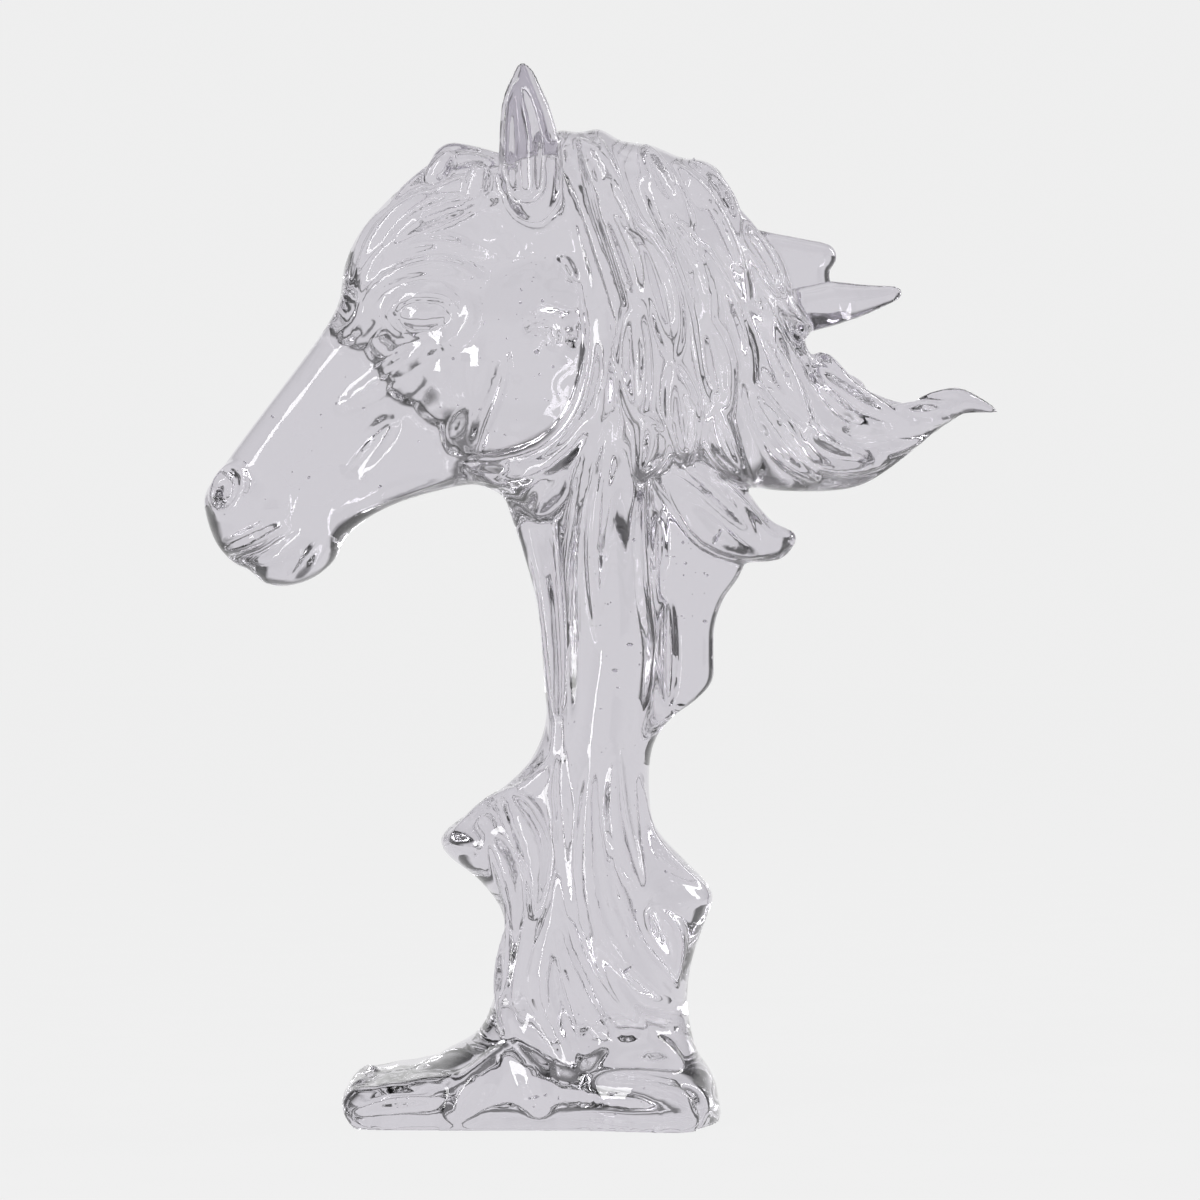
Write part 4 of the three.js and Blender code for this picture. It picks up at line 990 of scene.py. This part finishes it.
def build_bubbles(clay):
    """Air bubbles sealed in the resin. Their faces look inwards, into the air they hold."""
    chance = np.random.default_rng(8)
    mesh = bmesh.new()
    for seed, (cloud, count) in enumerate(BUBBLE_CLOUDS):
        for place in deep_places(clay, cloud, count, seed):
            radius = BUBBLE_LEAST + BUBBLE_RANGE * chance.random() ** 3
            ball = bmesh.ops.create_icosphere(mesh, subdivisions=2, radius=radius)
            at = Vector((place - (0, 0, SOLE)) * METRE)
            bmesh.ops.translate(mesh, verts=ball["verts"], vec=at)
    bmesh.ops.reverse_faces(mesh, faces=mesh.faces)
    data = bpy.data.meshes.new("air_bubbles")
    mesh.to_mesh(data)
    mesh.free()
    data.polygons.foreach_set("use_smooth", [True] * len(data.polygons))
    bubbles = placed("air_bubbles", data)
    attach(bubbles, "root")
    return bubbles


def principled(name):
    material = bpy.data.materials.new(name)
    material.use_nodes = True
    return material, material.node_tree, material.node_tree.nodes["Principled BSDF"]


def noise(tree, place, scale, detail):
    """Cloudy values from 0 to 1 that are read by a place."""
    node = tree.nodes.new("ShaderNodeTexNoise")
    node.inputs["Scale"].default_value = scale
    node.inputs["Detail"].default_value = detail
    tree.links.new(place, node.inputs["Vector"])
    return node.outputs["Fac"]


def mapped(tree, source, low, high):
    """A value from 0 to 1, spread out from low to high."""
    node = tree.nodes.new("ShaderNodeMapRange")
    node.inputs["To Min"].default_value = low
    node.inputs["To Max"].default_value = high
    tree.links.new(source, node.inputs["Value"])
    return node.outputs["Result"]


def resin_material():
    """Clear, faintly lilac resin with the slight waviness of a polished casting."""
    material, tree, shader = principled("clear_resin")
    shader.inputs["Base Color"].default_value = RESIN_TINT
    shader.inputs["Transmission Weight"].default_value = 1.0
    shader.inputs["IOR"].default_value = RESIN_IOR
    place = tree.nodes.new("ShaderNodeTexCoord").outputs["Object"]
    bump = tree.nodes.new("ShaderNodeBump")
    bump.inputs["Strength"].default_value = 0.07
    bump.inputs["Distance"].default_value = 0.0008
    tree.links.new(noise(tree, place, scale=55, detail=2), bump.inputs["Height"])
    tree.links.new(bump.outputs["Normal"], shader.inputs["Normal"])
    smears = mapped(tree, noise(tree, place, scale=18, detail=4), 0.0, 0.035)
    tree.links.new(smears, shader.inputs["Roughness"])
    return material


def table_material():
    """Paper lit from behind, so that the resin is seen against light."""
    material, tree, shader = principled("studio_paper")
    grain = tree.nodes.new("ShaderNodeTexNoise")
    grain.inputs["Scale"].default_value = 400
    tone = mapped(tree, grain.outputs["Fac"], 0.025, 0.035)
    tree.links.new(tone, shader.inputs["Base Color"])
    shader.inputs["Roughness"].default_value = 0.9
    shader.inputs["Specular IOR Level"].default_value = 0
    shader.inputs["Emission Color"].default_value = (1, 1, 1, 1)
    shader.inputs["Emission Strength"].default_value = TABLE_GLOW
    return material


def build_table():
    """A wide round light table under the casting."""
    mesh = bmesh.new()
    bmesh.ops.create_circle(mesh, cap_ends=True, segments=96, radius=TABLE_RADIUS)
    bmesh.ops.translate(mesh, verts=mesh.verts, vec=(0, 0, -TABLE_DROP))
    data = bpy.data.meshes.new("light_table")
    mesh.to_mesh(data)
    mesh.free()
    table = placed("light_table", data)
    data.materials.append(table_material())


def add_lamp(name, place, size, power):
    light = bpy.data.lights.new(name, "AREA")
    light.shape = "RECTANGLE"
    light.size, light.size_y = size
    light.energy = power
    lamp = placed(name, light)
    lamp.location = place
    look = Vector(LAMP_AIM) - Vector(place)
    lamp.rotation_euler = look.to_track_quat("-Z", "Y").to_euler()


def ramp_of(tree, source, stops):
    """A grey level read from stops [(place, level), ...]."""
    ramp = tree.nodes.new("ShaderNodeValToRGB")
    tree.links.new(source, ramp.inputs["Fac"])
    elements = ramp.color_ramp.elements
    while len(elements) < len(stops):
        elements.new(0.5)
    for element, (at, level) in zip(elements, stops):
        element.position = at
        element.color = (level, level, level, 1)
    return ramp.outputs["Color"]


def light_scene():
    """A pale room seen through and behind the resin. Dark panels stand between its main views
    and round the ceiling light, and draw the dark lines in the resin's folds."""
    world = bpy.data.worlds.new("studio")
    bpy.context.scene.world = world
    world.use_nodes = True
    tree = world.node_tree
    place = tree.nodes.new("ShaderNodeTexCoord")
    split = tree.nodes.new("ShaderNodeSeparateXYZ")
    tree.links.new(place.outputs["Generated"], split.inputs["Vector"])

    def math_node(operation, *sources):
        node = tree.nodes.new("ShaderNodeMath")
        node.operation = operation
        for source, socket in zip(sources, node.inputs):
            tree.links.new(source, socket)
        return node.outputs[0]

    x, y, z = [split.outputs[axis] for axis in "XYZ"]
    squares = [math_node("MULTIPLY", axis, axis) for axis in (x, y)]
    level = math_node("SQRT", math_node("ADD", *squares))
    aside = math_node("DIVIDE", math_node("ABSOLUTE", x), level)
    both = tree.nodes.new("ShaderNodeMix")
    both.data_type = "RGBA"
    both.blend_type = "MULTIPLY"
    both.inputs["Factor"].default_value = 1
    tree.links.new(ramp_of(tree, aside, PANELS), both.inputs["A"])
    tree.links.new(ramp_of(tree, z, CEILING), both.inputs["B"])
    background = tree.nodes["Background"]
    tree.links.new(both.outputs["Result"], background.inputs["Color"])
    background.inputs["Strength"].default_value = ROOM_GLOW
    for lamp in LAMPS:
        add_lamp(*lamp)


def place_camera():
    """The photograph is square, and its middle is at PICTURE_MIDDLE."""
    camera = bpy.data.cameras.new("camera")
    camera.sensor_width = SENSOR_WIDTH
    camera.lens = SENSOR_WIDTH * CAMERA_DISTANCE / PICTURE_WIDTH
    eye = placed("camera", camera)
    eye.location = Vector(PICTURE_MIDDLE) + Vector((0, -CAMERA_DISTANCE, 0))
    eye.rotation_euler = (math.pi / 2, 0, 0)
    bpy.context.scene.camera = eye
    bpy.context.scene.view_settings.view_transform = "Standard"


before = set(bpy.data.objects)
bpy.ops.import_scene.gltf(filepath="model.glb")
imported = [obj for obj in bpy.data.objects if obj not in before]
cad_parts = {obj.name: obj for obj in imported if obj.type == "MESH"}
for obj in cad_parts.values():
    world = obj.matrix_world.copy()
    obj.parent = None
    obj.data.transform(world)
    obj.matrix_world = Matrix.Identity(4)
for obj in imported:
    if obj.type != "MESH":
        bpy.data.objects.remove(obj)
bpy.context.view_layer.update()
clay, points, faces = model_horse()
resin = resin_material()
for piece in (build_casting(points, faces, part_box(NODE)), build_bubbles(clay)):
    piece.data.materials.append(resin)
build_table()
light_scene()
place_camera()
